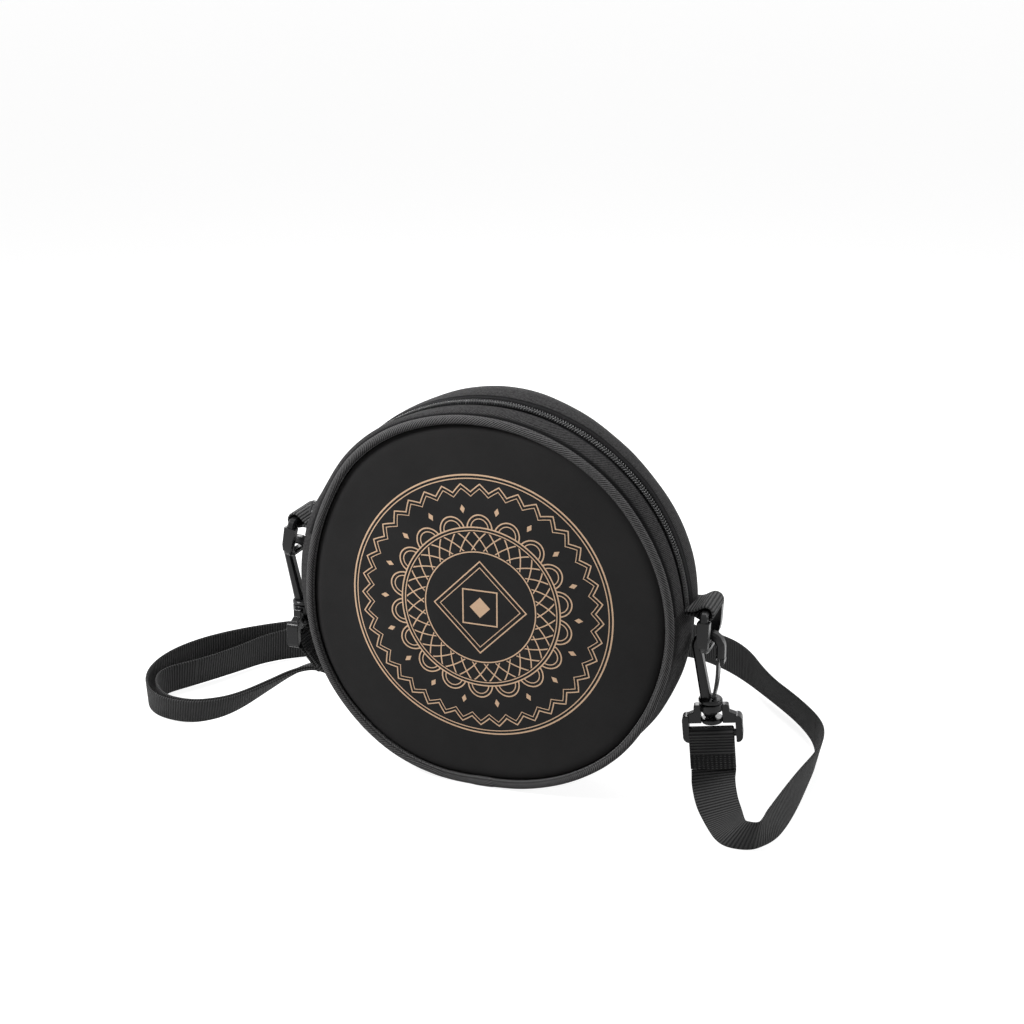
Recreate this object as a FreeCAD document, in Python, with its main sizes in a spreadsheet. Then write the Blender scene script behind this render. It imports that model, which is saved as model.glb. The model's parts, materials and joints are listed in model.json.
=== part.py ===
import FreeCAD, Part
import math
import os
import Sketcher
from FreeCAD import Placement, Rotation, Vector

# A round shoulder bag, in millimetres. +Z is up, the front faces -Y, and the origin is on the floor
# under the middle of the bag, which stands on its gusset with its strap laid out on the floor.
SIZES = (
    ("centre_height", 110, "disc centre above the floor"),
    ("centre_side", -0.9, "disc centre sideways, so that the bag with its rings is centred"),
    ("stand_turn", 5.75, "degrees that the bag stands rolled, clockwise from the front"),
    ("face_radius", 103, "sewn radius of the front and back"),
    ("layer_gap", 0.1, "air between sewn layers"),
    ("cloth_step", 6, "degrees of one flat round the sewn rings"),
    ("panel_lift", 0.6, "panel edge in front of the piping's middle"),
    ("panel_cloth", 0.9, "printed cloth"),
    ("panel_foam", 2.5, "foam behind the cloth"),
    ("foam_inset", 3.5, "foam edge inside the seam"),
    ("lining_cloth", 0.5, "lining"),
    ("piping_radius", 3.2, "piping over its tape"),
    ("gusset_width", 42, "side wall between its seams"),
    ("gusset_step", 1.2, "gusset's edge outside the piping's ring"),
    ("gusset_rise", 6, "swell of the gusset between its seams"),
    ("gusset_wall", 1.8, "gusset cloth with its stiffening"),
    ("zip_forward", 8, "zip in front of mid depth"),
    ("zip_mouth", 7.8, "gap between the strips beside the zip"),
    ("zip_half_span", 80.5, "degrees from the middle of the zip to each tab"),
    ("tape_width", 10.2, "one zip tape"),
    ("tape_gap", 0.4, "air between the strips and the tapes"),
    ("tape_cloth", 0.8, "zip tape's thickness"),
    ("coil_split", 1.5, "gap between the two rows of coil"),
    ("coil_width", 2, "one row of coil"),
    ("coil_height", 1.45, "coil above its tape"),
    ("coil_pitch", 6, "one tooth of coil, drawn coarse"),
    ("coil_end", 1.6, "degrees of tape without coil beside each tab"),
    ("slider_length", 12, "zip slider along the track"),
    ("slider_width", 9.4, "zip slider across the track"),
    ("slider_plate", 1.3, "slider's upper plate"),
    ("slider_sole", 1.1, "slider's lower plate"),
    ("slider_play", 0.6, "air between the slider and the strips"),
    ("slider_neck", 0.7, "wedge between the rows of coil"),
    ("slider_rest", 5.5, "degrees from the left tab to the closed slider"),
    ("bridge_length", 8, "slider's bridge along the track"),
    ("bridge_width", 2, "slider's bridge across the track"),
    ("bridge_height", 3.2, "slider's bridge above its plate"),
    ("bridge_wall", 1.2, "slider's bridge over its eye"),
    ("pull_length", 22, "pull from its pin to its end"),
    ("pull_width", 6.4, "pull tab"),
    ("pull_plate", 1.3, "pull tab's thickness"),
    ("pull_eye", 6, "pull's eye, from the pin"),
    ("pull_round", 3.3, "rounding of the pull's end"),
    ("webbing_width", 25, "strap and tabs"),
    ("webbing_cloth", 1.6, "strap's thickness"),
    ("tab_reach", 20.5, "ring bar outside the sewn face"),
    ("tab_root", 1.6, "inner end of a tab outside the sewn face"),
    ("tab_play", 0.9, "air between a ring's bar and its tab"),
    ("ring_inside", 26, "D-ring's inner width"),
    ("ring_bar", 4.4, "D-ring's bar in its plane"),
    ("ring_thick", 4, "D-ring's thickness"),
    ("ring_drop", 22, "from the D-ring's straight bar to its lower bar"),
    ("ring_corner", 10, "D-ring's lower corners"),
    ("ring_shoulder", 3, "D-ring's upper corners"),
    ("ring_bevel", 0.9, "bevel of a D-ring's faces"),
    ("left_ring_lean", 12, "degrees that the gusset holds the left ring out"),
    ("hook_thick", 6.5, "hook's thickness"),
    ("hook_offset", 2, "from the swivel's axis to the middle of the hook's arch"),
    ("hook_rise", 30.5, "middle of the arch above the flange"),
    ("hook_outer", 9.2, "arch's outer radius"),
    ("hook_inner", 4.2, "arch's inner radius"),
    ("hook_seat", 0.9, "ring's bar above the middle of the arch"),
    ("spine_lean", 12, "degrees that the hook's spine leans off the swivel's axis"),
    ("nose_drop", 10, "nose's tip below the middle of the arch"),
    ("nose_pocket", 3.5, "depth of the nose's pocket for the gate"),
    ("nose_wall", 2.7, "nose outside its pocket"),
    ("hook_bevel", 0.9, "bevel of the hook's faces"),
    ("gate_thick", 1.5, "gate's strip"),
    ("gate_width", 6, "gate across the hook"),
    ("gate_play", 0.4, "air round the gate"),
    ("gate_swell", 80, "radius of the gate's bow"),
    ("flange_radius", 6.65, "hook's flange"),
    ("flange_thick", 2.6, "hook's flange"),
    ("post_radius", 2.5, "swivel post"),
    ("post_head", 3.6, "head that holds the post in the base"),
    ("head_thick", 2.6, "thickness of that head"),
    ("swivel_play", 0.3, "air round the swivel"),
    ("drum_radius", 6.2, "base's drum round the post"),
    ("collar_height", 4.3, "drum above its window"),
    ("window_height", 4.2, "see-through window in the drum"),
    ("window_width", 9.6, "see-through window in the drum"),
    ("sill_height", 3.2, "drum below its window"),
    ("base_thick", 7, "base's thickness"),
    ("base_width", 33, "base over its lugs"),
    ("base_height", 23, "base from its collar to the lugs' ends"),
    ("shoulder_width", 18, "base at its collar"),
    ("lug_round", 2, "corners of the lugs"),
    ("strap_slot", 26.4, "base's slot for the strap"),
    ("base_bar", 2.1, "radius of the base's strap bar"),
    ("base_bar_drop", 18.3, "strap bar below the collar's top"),
    ("loop_play", 0.3, "air between a bar and the strap round it"),
    ("tail_length", 20, "doubled strap below a base's bar"),
    ("right_tail_lean", 12, "degrees that the right tail leans forward"),
    ("left_tail_lean", 24, "degrees that the left tail leans to the bag"),
    ("tail_lead", 7, "straight strap below the doubled tail"),
    ("strap_seam", 0.4, "air between the strap's two layers"),
    ("glide_length", 18, "strap slider along the strap"),
    ("glide_bar", 3.5, "strap slider's side bars"),
    ("glide_middle", 4, "strap slider's middle bar"),
    ("glide_thick", 2.2, "strap slider's bars"),
    ("glide_rail", 2.5, "strap slider's rails"),
    ("glide_play", 0.4, "air between the strap and its slider"),
)

doc = FreeCAD.newDocument("circle_bag")
sheet = doc.addObject("Spreadsheet::Sheet", "Size")
for row, (alias, number, meaning) in enumerate(SIZES, start=1):
    sheet.set("A%d" % row, alias)
    sheet.set("B%d" % row, str(number))
    sheet.set("C%d" % row, meaning)
    sheet.setAlias("B%d" % row, alias)
doc.recompute()

ACROSS = Vector(1, 0, 0)
DEPTH = Vector(0, 1, 0)
UP = Vector(0, 0, 1)
ROUND_SIDES = 16
pieces = []


def value(expression):
    """What an expression over the sheet is worth."""
    return float(sheet.evalExpression(expression))


def keep(thing):
    """Count a document object among the bag's pieces."""
    pieces.append(thing)
    return thing


def bend(start, end, radius, side):
    """Arc that swells to the left (1) or right (-1) of the way from start to end."""
    chord = end - start
    left = Vector(-chord.y, chord.x, 0).normalize()
    sag = math.sqrt(radius ** 2 - (chord.Length / 2) ** 2)
    centre = (start + end) / 2 - left * side * sag
    ends = (end, start) if side > 0 else (start, end)
    first, last = (math.atan2(place.y - centre.y, place.x - centre.x) for place in ends)
    if last < first:
        last += 2 * math.pi
    return Part.ArcOfCircle(Part.Circle(centre, UP, radius), first, last)


def close_outline(sketch, corners):
    """Draw one closed outline; corners are (x, y) or (x, y, radius, side) where an arc leaves."""
    places = [Vector(value(corner[0]), value(corner[1]), 0) for corner in corners]
    first = sketch.GeometryCount
    ends = []
    for index, corner in enumerate(corners):
        start = places[index]
        end = places[(index + 1) % len(corners)]
        if len(corner) == 2:
            sketch.addGeometry(Part.LineSegment(start, end))
            ends.append((1, 2))
            continue
        sketch.addGeometry(bend(start, end, value(corner[2]), corner[3]))
        ends.append((2, 1) if corner[3] > 0 else (1, 2))
    for index, corner in enumerate(corners):
        edge = first + index
        after = first + (index + 1) % len(corners)
        sketch.addConstraint(
            Sketcher.Constraint("Coincident", edge, ends[index][1], after, ends[after - first][0]))
        for kind, expression, now in (
            ("DistanceX", corner[0], places[index].x),
            ("DistanceY", corner[1], places[index].y),
        ):
            rule = sketch.addConstraint(Sketcher.Constraint(kind, -1, 1, edge, ends[index][0], now))
            sketch.setExpression("Constraints[%d]" % rule, expression)
        if len(corner) > 2:
            rule = sketch.addConstraint(Sketcher.Constraint("Radius", edge, value(corner[2])))
            sketch.setExpression("Constraints[%d]" % rule, corner[2])


def outline(body, role, name, *loops):
    """Sketch closed outlines on one of the body's origin planes."""
    sketch = body.newObject("Sketcher::SketchObject", name)
    support = next(item for item in body.Origin.OriginFeatures if item.Role == role)
    sketch.AttachmentSupport = [(support, "")]
    sketch.MapMode = "FlatFace"
    for corners in loops:
        close_outline(sketch, corners)
    return sketch


def pad(body, sketch, length, kind="PartDesign::Pad"):
    """Pad or pocket a sketch by a length that its plane halves."""
    feature = body.newObject(kind, sketch.Name + "_depth")
    feature.Profile = sketch
    feature.Midplane = True
    feature.setExpression("Length", length)
    doc.recompute()
    return feature


def flat(corners):
    """A flat facet between corners."""
    return Part.Face(Part.makePolygon(list(corners) + [corners[0]]))


def closed_solid(facets):
    """The solid that facets enclose, right side out."""
    skin = Part.makeCompound(facets)
    skin.sewShape()
    solid = Part.Solid(skin.Shells[0])
    if solid.Volume < 0:
        solid.reverse()
    return solid


def turned(label, corners, sweep="360"):
    """A sewn ring of flats about the bag's depth axis, from a (radius, depth) outline, up from +X."""
    outline_places = [(value(corner[0]), value(corner[1])) for corner in corners]
    whole = value(sweep)
    count = math.ceil(whole / value("Size.cloth_step"))
    ends = []
    for step in range(count + 1):
        angle = math.radians(whole * step / count)
        ends.append([Vector(r * math.cos(angle), d, r * math.sin(angle)) for r, d in outline_places])
    facets = []
    if whole < 360:
        facets = [flat(ends[0]), flat(ends[-1])]
    for one, two in zip(ends, ends[1:]):
        for index in range(len(corners)):
            facets.append(flat((one[index - 1], one[index], two[index], two[index - 1])))
    ring = doc.addObject("Part::Feature", label)
    ring.Shape = closed_solid(facets)
    return ring


def many_sided(body, name, kind, radius, low, high):
    """A many-sided round of a body about its own upright axis, added or taken away."""
    prism = body.newObject("PartDesign::%sPrism" % kind, name)
    prism.Polygon = ROUND_SIDES
    prism.setExpression("Circumradius", radius)
    prism.setExpression("Height", "(%s) - (%s)" % (high, low))
    prism.Placement = shifted(UP * value(low))
    doc.recompute()
    return prism


def round_bar(body, name, kind, radius, low, high):
    """A true round of a body about its own upright axis, added or taken away."""
    cylinder = body.newObject("PartDesign::%sCylinder" % kind, name)
    cylinder.setExpression("Radius", radius)
    cylinder.setExpression("Height", "(%s) - (%s)" % (high, low))
    cylinder.Placement = shifted(UP * value(low))
    doc.recompute()
    return cylinder


def bevel_flats(body, feature, normal, size):
    """Bevel the edges of a feature's outermost flat faces that look along a direction."""
    faces = feature.Shape.Faces
    reach = max(abs(face.CenterOfMass.dot(normal)) for face in faces)
    flats = [face for face in faces if abs(abs(face.CenterOfMass.dot(normal)) - reach) < 1e-6]
    edges = [edge for face in flats for edge in face.Edges]
    names = [
        "Edge%d" % index
        for index, edge in enumerate(feature.Shape.Edges, start=1)
        if any(edge.isSame(other) for other in edges)
    ]
    bevel = body.newObject("PartDesign::Chamfer", body.Name + "_bevel")
    bevel.Base = (feature, names)
    bevel.setExpression("Size", size)
    doc.recompute()


def box(name, length, width, height, placement):
    """A block whose corner is at its placement."""
    block = doc.addObject("Part::Box", name)
    for side, expression in (("Length", length), ("Width", width), ("Height", height)):
        block.setExpression(side, expression)
    block.Placement = placement
    return block


def rod(name, radius, length, placement, sides):
    """A many-sided rod from its placement along its own Z."""
    prism = doc.addObject("Part::Prism", name)
    prism.Polygon = sides
    prism.setExpression("Circumradius", radius)
    prism.setExpression("Height", length)
    prism.Placement = placement
    return prism


def cut(label, base, tool):
    """What is left of base once tool is taken away."""
    left = doc.addObject("Part::Cut", label)
    left.Base = base
    left.Tool = tool
    return left


def fuse(label, *things):
    """Several blocks as one."""
    whole = doc.addObject("Part::MultiFuse", label)
    whole.Shapes = list(things)
    return whole


def shifted(vector):
    """A placement that only moves."""
    return Placement(vector, Rotation())


def turn(axis, degrees):
    """A placement that only turns."""
    return Placement(Vector(), Rotation(axis, degrees))


# Where the disc's centre is, and the angles of the two tabs, counted up from +X.
CENTRE = shifted(Vector(value("Size.centre_side"), 0, value("Size.centre_height")))
TOP_ANGLE = "(90 - Size.stand_turn)"
TAB_ANGLES = {
    "right": "(%s - Size.zip_half_span)" % TOP_ANGLE,
    "left": "(%s + Size.zip_half_span)" % TOP_ANGLE,
}
RING_REACH = "(Size.face_radius + Size.tab_reach)"


def on_disc(degrees):
    """Turn the +X direction up to an angle of the disc."""
    return CENTRE * turn(DEPTH, -degrees)


# The seam: the piping's ring, and the arc that the gusset swells on, both in (radius, depth).
PIPING_RING = "(Size.face_radius + Size.layer_gap + Size.piping_radius)"
PIPING_DEPTH = "(Size.gusset_width/2 + Size.layer_gap + Size.piping_radius)"
GUSSET_ARC = "(((Size.gusset_width/2)^2 + Size.gusset_rise^2)/(2*Size.gusset_rise))"
GUSSET_AXIS = "(%s + Size.gusset_step + Size.gusset_rise - %s)" % (PIPING_RING, GUSSET_ARC)


def arc_inside(inset):
    """Radius of the gusset's arc, moved in by a thickness."""
    return "(%s - (%s))" % (GUSSET_ARC, inset)


def arc_reach(inset, depth):
    """Distance from the disc's axis to that arc at a depth."""
    return "(%s + sqrt(%s^2 - (%s)^2))" % (GUSSET_AXIS, arc_inside(inset), depth)


def arc_corners(inset, near, far, flats):
    """Corners along that arc from one depth to another, joined by flats of equal width."""
    count = round(flats)
    stations = ["((%s) + ((%s) - (%s))*%d/%d)" % (near, far, near, step, count) for step in range(count + 1)]
    return [(arc_reach(inset, depth), depth) for depth in stations]


def arc_band(label, outer, inner, near, far, flats, sweep):
    """A strip of the side wall between two thicknesses and two depths."""
    corners = arc_corners(outer, near, far, flats) + arc_corners(inner, far, near, flats)
    return turned(label, corners, sweep)


# Front and back: discs of cloth, foam and lining, one behind the other.
def panel_layer(label, rim, thickness, radius, facing):
    """One flat layer of a panel, whose outer face is a rim's depth from mid depth."""
    lie = CENTRE * turn(UP, facing) * turn(ACROSS, 90) * shifted(UP * value("%s - %s" % (rim, thickness)))
    return keep(rod(label, radius, thickness, lie, round(value("360/Size.cloth_step"))))


CLOTH_RIM = "(%s + Size.panel_lift)" % PIPING_DEPTH
FOAM_RIM = "(%s - Size.panel_cloth - Size.layer_gap)" % CLOTH_RIM
LINING_RIM = "(%s - Size.panel_foam - Size.layer_gap)" % FOAM_RIM
FOAM_RADIUS = "(Size.face_radius - Size.foam_inset)"
for side, facing in (("front", 0), ("back", 180)):
    panel_layer(side + "_panel", CLOTH_RIM, "Size.panel_cloth", "Size.face_radius", facing)
    panel_layer(side + "_foam", FOAM_RIM, "Size.panel_foam", FOAM_RADIUS, facing)
    panel_layer(side + "_lining", LINING_RIM, "Size.lining_cloth", "Size.face_radius", facing)


# Piping: a tape sewn tight round its cord, drawn with six flats round the tube.
def six_flats(radius, depth, size):
    """Corners of a hexagon that stands about a (radius, depth) place."""
    return [
        ("%s + %s*cos(%d deg)" % (radius, size, degrees), "%s + %s*sin(%d deg)" % (depth, size, degrees))
        for degrees in range(0, 360, 60)
    ]


for side, facing in (("front", 0), ("back", 180)):
    piping = keep(turned(side + "_piping", six_flats(PIPING_RING, "-" + PIPING_DEPTH, "Size.piping_radius")))
    piping.Placement = CENTRE * turn(UP, facing)


# Lower gusset: the bag stands on a flat that its weight presses into the gusset.
def floor_cut(name, height):
    """Everything below a height."""
    span = "4*Size.face_radius"
    corner = Vector(-1, -1, -1) * value(span) / 2
    return box(name, span, span, span, shifted(corner + UP * (height - value(span) / 2)))


GUSSET_FLATS = 6
HALF_WIDTH = "Size.gusset_width/2"


def barrel(name, inset, core, sweep, start):
    """A drum between a core and the gusset's arc, flat where the bag stands."""
    rim = arc_corners(inset, "-" + HALF_WIDTH, HALF_WIDTH, GUSSET_FLATS)
    drum = turned(name + "_drum", [(core, "-" + HALF_WIDTH)] + rim + [(core, HALF_WIDTH)], sweep)
    drum.Placement = on_disc(start)
    return cut(name, drum, floor_cut(name + "_floor", value(inset)))


# Both tabs pass through the gusset's seams in slots a little wider than the doubled webbing.
TAB_THICK = "(2*Size.webbing_cloth + 2*Size.layer_gap)"
SLOT_THICK = "(%s + 2*Size.layer_gap)" % TAB_THICK
SLOT_WIDTH = "(Size.webbing_width + 2*Size.layer_gap)"
slots = []
for side, angle in TAB_ANGLES.items():
    corner = Vector(value("Size.face_radius/2"), value(SLOT_WIDTH) / -2, value(SLOT_THICK) / -2)
    slots.append(box(
        side + "_tab_slot", "Size.face_radius", SLOT_WIDTH, SLOT_THICK,
        on_disc(value(angle)) * shifted(corner)))
tab_slots = fuse("tab_slots", *slots)

SEAM_TURN = "(Size.layer_gap/Size.face_radius*180/pi)"
ZIP_SWEEP = "(2*Size.zip_half_span - 2*%s)" % SEAM_TURN
LOWER_SWEEP = "(360 - 2*Size.zip_half_span)"
LOWER_START = value(TAB_ANGLES["left"])
gusset_wall = cut(
    "gusset_wall",
    barrel("gusset_outside", "0", "Size.face_radius/2", LOWER_SWEEP, LOWER_START),
    barrel("gusset_inside", "Size.gusset_wall", "Size.face_radius/3", "360", 0),
)
keep(cut("lower_gusset", gusset_wall, tab_slots))

# The lining is cut straight from seam to seam, so it spans the gusset's swell.
LINING_INSET = "(Size.gusset_wall + Size.tape_gap)"
LINING_FOOT = "(%s + Size.lining_cloth)" % LINING_INSET
lining = arc_band("gusset_lining_band", LINING_INSET, LINING_FOOT, "-" + HALF_WIDTH, HALF_WIDTH, 1,
                  "%s - 2*%s" % (LOWER_SWEEP, SEAM_TURN))
lining.Placement = on_disc(LOWER_START + value(SEAM_TURN))
keep(cut("lower_gusset_lining", lining, tab_slots))

# Zip panel: two folded strips, the tapes sewn under them and a row of coil on each tape.
ZIP_START = value("%s + %s" % (TAB_ANGLES["right"], SEAM_TURN))
MOUTH_FRONT = "(-Size.zip_forward - Size.zip_mouth/2)"
MOUTH_BACK = "(-Size.zip_forward + Size.zip_mouth/2)"
TAPE_TOP = "(Size.gusset_wall + Size.tape_gap)"
TAPE_FOOT = "(%s + Size.tape_cloth)" % TAPE_TOP
TAPE_FRONT = "(-Size.zip_forward - Size.coil_split/2)"
TAPE_BACK = "(-Size.zip_forward + Size.coil_split/2)"
for label, outer, inner, near, far, flats in (
    ("zip_strip_front", "0", "Size.gusset_wall", "-Size.gusset_width/2", MOUTH_FRONT, 2),
    ("zip_strip_back", "0", "Size.gusset_wall", MOUTH_BACK, "Size.gusset_width/2", 4),
    ("zip_tape_front", TAPE_TOP, TAPE_FOOT, "%s - Size.tape_width" % TAPE_FRONT, TAPE_FRONT, 2),
    ("zip_tape_back", TAPE_TOP, TAPE_FOOT, TAPE_BACK, "%s + Size.tape_width" % TAPE_BACK, 2),
):
    strip = arc_band(label + "_band", outer, inner, near, far, flats, ZIP_SWEEP)
    strip.Placement = on_disc(ZIP_START)
    keep(cut(label, strip, tab_slots))


def coil(label, near, far, offset):
    """One row of coil: teeth round the zip's arc, half a turn apart on the two rows."""
    inside = max(value(arc_reach(TAPE_TOP, depth)) for depth in (near, far)) + value("Size.layer_gap")
    outside = inside + value("Size.coil_height")
    root = inside + value("Size.coil_height") / 3
    sweep = math.radians(value("%s - 2*Size.coil_end" % ZIP_SWEEP))
    teeth = int(sweep * outside / value("Size.coil_pitch"))
    step = sweep / (teeth + 1)
    tooth = ((0, root), (0.25, outside), (0.6, outside))
    rim = [(0, root)]
    rim += [((count + share + offset) * step, reach) for count in range(teeth) for share, reach in tooth]
    rim += [(sweep, root), (sweep, inside)]
    edges = [Vector(reach * math.cos(angle), 0, reach * math.sin(angle)) for angle, reach in rim]
    halfway = Vector(inside * math.cos(sweep / 2), 0, inside * math.sin(sweep / 2))
    back = Part.Arc(edges[-1], halfway, Vector(inside, 0, 0)).toShape()
    profile = Part.Wire(Part.makePolygon([Vector(inside, 0, 0)] + edges).Edges + [back])
    row = doc.addObject("Part::Feature", label)
    row.Shape = Part.Face(profile).extrude(DEPTH * value("(%s) - (%s)" % (far, near)))
    start = ZIP_START + value("Size.coil_end")
    row.Placement = on_disc(start) * shifted(DEPTH * value(near))
    return row


keep(coil("zip_coil_front", "%s - Size.coil_width" % TAPE_FRONT, TAPE_FRONT, 0))
keep(coil("zip_coil_back", TAPE_BACK, "%s + Size.coil_width" % TAPE_BACK, 0.5))

# Zip slider: two plates joined by a wedge between the rows of coil, with a bridge for the pull.
# Its own X runs along the track, its Z out of the bag, and it leans with the gusset's swell.
SLIDER_LOW = "Size.slider_play"
SLIDER_TOP = "(%s + Size.slider_plate)" % SLIDER_LOW
SOLE_SAG = "((Size.slider_width/2)^2/(2*%s))" % GUSSET_ARC
SOLE_TOP = "(-%s - %s - Size.slider_play)" % (TAPE_FOOT, SOLE_SAG)
SOLE_LOW = "(%s - Size.slider_sole)" % SOLE_TOP
EYE_TOP = "(%s + Size.bridge_height - Size.bridge_wall)" % SLIDER_TOP
PIN_HEIGHT = "((%s + %s)/2)" % (SLIDER_TOP, EYE_TOP)


def oblong(half_length, low, high):
    """Corners of a rectangle about the upright axis."""
    back = "-(%s)" % half_length
    return ((back, low), (half_length, low), (half_length, high), (back, high))


slider = keep(doc.addObject("PartDesign::Body", "zip_slider"))
half = "(Size.slider_length/2)"
pad(slider, outline(slider, "XZ_Plane", "slider_plate", oblong(half, SLIDER_LOW, SLIDER_TOP)),
    "Size.slider_width")
pad(slider, outline(slider, "XZ_Plane", "slider_neck", oblong(half + "/2", SOLE_LOW, SLIDER_TOP)),
    "Size.slider_neck")
pad(slider, outline(slider, "XZ_Plane", "slider_sole", oblong(half, SOLE_LOW, SOLE_TOP)),
    "Size.slider_width - 2*Size.slider_play")
BRIDGE_TOP = "(%s + Size.bridge_height)" % SLIDER_TOP
half_bridge = "(Size.bridge_length/2)"
pad(slider, outline(
    slider, "XZ_Plane", "slider_bridge",
    (
        ("-%s" % half_bridge, SLIDER_LOW),
        (half_bridge, SLIDER_LOW),
        (half_bridge, EYE_TOP, "Size.bridge_wall", -1),
        ("%s - Size.bridge_wall" % half_bridge, BRIDGE_TOP),
        ("Size.bridge_wall - %s" % half_bridge, BRIDGE_TOP, "Size.bridge_wall", -1),
        ("-%s" % half_bridge, EYE_TOP),
    ),
    oblong("%s - Size.bridge_wall" % half_bridge, SLIDER_TOP, EYE_TOP),
), "Size.bridge_width")

# Pull tab: a flat tongue whose eye goes round the bridge, on a pin through the bridge's eye.
pull = keep(doc.addObject("PartDesign::Body", "zip_pull"))
PULL_LOW = "(%s - Size.pull_plate/2)" % PIN_HEIGHT
PULL_TOP = "(%s + Size.pull_plate/2)" % PIN_HEIGHT
PULL_TIP = "Size.pull_length"
EYE_HALF = "(Size.bridge_width/2 + Size.slider_play)"
PULL_HALF = "(Size.pull_width/2)"
tongue = outline(
    pull, "XY_Plane", "pull_tongue",
    (
        ("-Size.pull_plate/2", "-%s" % PULL_HALF),
        ("%s - %s" % (PULL_TIP, PULL_HALF), "-%s" % PULL_HALF, "Size.pull_round", -1),
        (PULL_TIP, "0", "Size.pull_round", -1),
        ("%s - %s" % (PULL_TIP, PULL_HALF), PULL_HALF),
        ("-Size.pull_plate/2", PULL_HALF),
    ),
    (
        ("Size.pull_plate/2", "-%s" % EYE_HALF),
        ("Size.pull_eye", "-%s" % EYE_HALF),
        ("Size.pull_eye", EYE_HALF),
        ("Size.pull_plate/2", EYE_HALF),
    ),
)
pad(pull, tongue, "Size.pull_plate")

slider_angle = value(TAB_ANGLES["left"]) - value("Size.slider_rest")
ride = value(arc_reach("0", "Size.zip_forward"))
tape_middle = value("(%s + %s)/2" % (TAPE_TOP, TAPE_FOOT))
swell = math.degrees(math.asin(value("Size.zip_forward") / value(GUSSET_ARC)))
track = (
    on_disc(slider_angle)
    * shifted(Vector(ride - tape_middle, value("-Size.zip_forward"), 0))
    * turn(DEPTH, 90)
    * turn(ACROSS, swell)
    * shifted(UP * tape_middle)
)
slider.Placement = track
pull.Placement = track * shifted(UP * value(PIN_HEIGHT))

# Tabs: webbing folded round the ring's bar, sewn flat below it and caught in the gusset's seam.
BAR_HOLE = "(Size.ring_bar/2 + Size.tab_play)"
LAY_DEPTH = turn(ACROSS, -90)
LAY_ACROSS = turn(DEPTH, 90)
HALF_BACK = shifted(-UP * value("Size.webbing_width/2"))
FOLD_SIDES = 12


def webbing_fold(label, hole, leg, lay):
    """Webbing folded round a bar that lies along a local axis, with its two sewn legs."""
    ply = "(%s + Size.webbing_cloth)" % hole
    roll = rod(label + "_roll", ply, "Size.webbing_width", lay * HALF_BACK, FOLD_SIDES)
    bore = rod(label + "_bore", hole, "Size.webbing_width", lay * HALF_BACK, FOLD_SIDES)
    return cut(label, fuse(label + "_folded", roll, leg), bore)


for side, angle in TAB_ANGLES.items():
    corner = Vector(value("Size.tab_root - Size.tab_reach"), value("-Size.webbing_width/2"),
                    value("-%s/2" % TAB_THICK))
    leg = box(side + "_tab_leg", "Size.tab_reach - Size.tab_root", "Size.webbing_width", TAB_THICK,
              shifted(corner))
    tab = keep(webbing_fold(side + "_tab", BAR_HOLE, leg, LAY_DEPTH))
    tab.Placement = on_disc(value(angle)) * shifted(ACROSS * value(RING_REACH))


# D-rings: a straight bar in the tab, two arms and a lower bar with large corners, each cut in two flats
# that meet at a share of its size.
CORNER_SHARE = 0.3


def d_ring(label):
    """A D-ring in its own upright plane, its straight bar at the origin."""
    body = doc.addObject("PartDesign::Body", label)
    half = "(Size.ring_inside/2)"
    wide = "(%s + Size.ring_bar)" % half
    top = "Size.ring_bar/2"
    low = "(-Size.ring_drop - Size.ring_bar/2)"
    corner = "Size.ring_corner"
    shoulder = "Size.ring_shoulder"
    inner = "(Size.ring_corner - Size.ring_bar)"
    share = "%s*%s" % (corner, CORNER_SHARE)
    inner_share = "%s*%s" % (inner, CORNER_SHARE)
    eye_low = "(-Size.ring_drop + Size.ring_bar/2)"
    sketch = outline(
        body, "YZ_Plane", label + "_outline",
        (
            ("-%s" % wide, "%s - %s" % (top, shoulder)),
            ("-%s" % wide, "%s + %s" % (low, corner)),
            ("%s - %s" % (share, wide), "%s + %s" % (low, share)),
            ("%s - %s" % (corner, wide), low),
            ("%s - %s" % (wide, corner), low),
            ("%s - %s" % (wide, share), "%s + %s" % (low, share)),
            (wide, "%s + %s" % (low, corner)),
            (wide, "%s - %s" % (top, shoulder)),
            ("%s - %s" % (wide, shoulder), top),
            ("%s - %s" % (shoulder, wide), top),
        ),
        (
            ("-%s" % half, "-Size.ring_bar/2"),
            ("-%s" % half, "%s + %s" % (eye_low, inner)),
            ("%s - %s" % (inner_share, half), "%s + %s" % (eye_low, inner_share)),
            ("%s - %s" % (inner, half), eye_low),
            ("%s - %s" % (half, inner), eye_low),
            ("%s - %s" % (half, inner_share), "%s + %s" % (eye_low, inner_share)),
            (half, "%s + %s" % (eye_low, inner)),
            (half, "-Size.ring_bar/2"),
        ),
    )
    bevel_flats(body, pad(body, sketch, "Size.ring_thick"), ACROSS, "Size.ring_bevel")
    return keep(body)


# Swivel snap hooks: a spine that rises from the flange into an arch and ends in a nose, and a post
# under the flange whose head is caught in the base. Local X is the gate's side, Z = 0 the flange's top.
ARCH_RIGHT = "(-Size.hook_offset + Size.hook_outer)"
EYE_RIGHT = "(-Size.hook_offset + Size.hook_inner)"
NOSE_TIP = "(Size.hook_rise - Size.nose_drop)"
POCKET_TOP = "(%s + Size.nose_pocket)" % NOSE_TIP
POCKET_WALL = "(%s - Size.nose_wall)" % ARCH_RIGHT
COLLAR_TOP = "(-Size.flange_thick - Size.swivel_play)"
WINDOW_TOP = "(%s - Size.collar_height)" % COLLAR_TOP
WINDOW_LOW = "(%s - Size.window_height)" % WINDOW_TOP
HEAD_TOP = "(%s - Size.swivel_play)" % WINDOW_TOP


LEAN = "(Size.spine_lean * 1 deg)"


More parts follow.
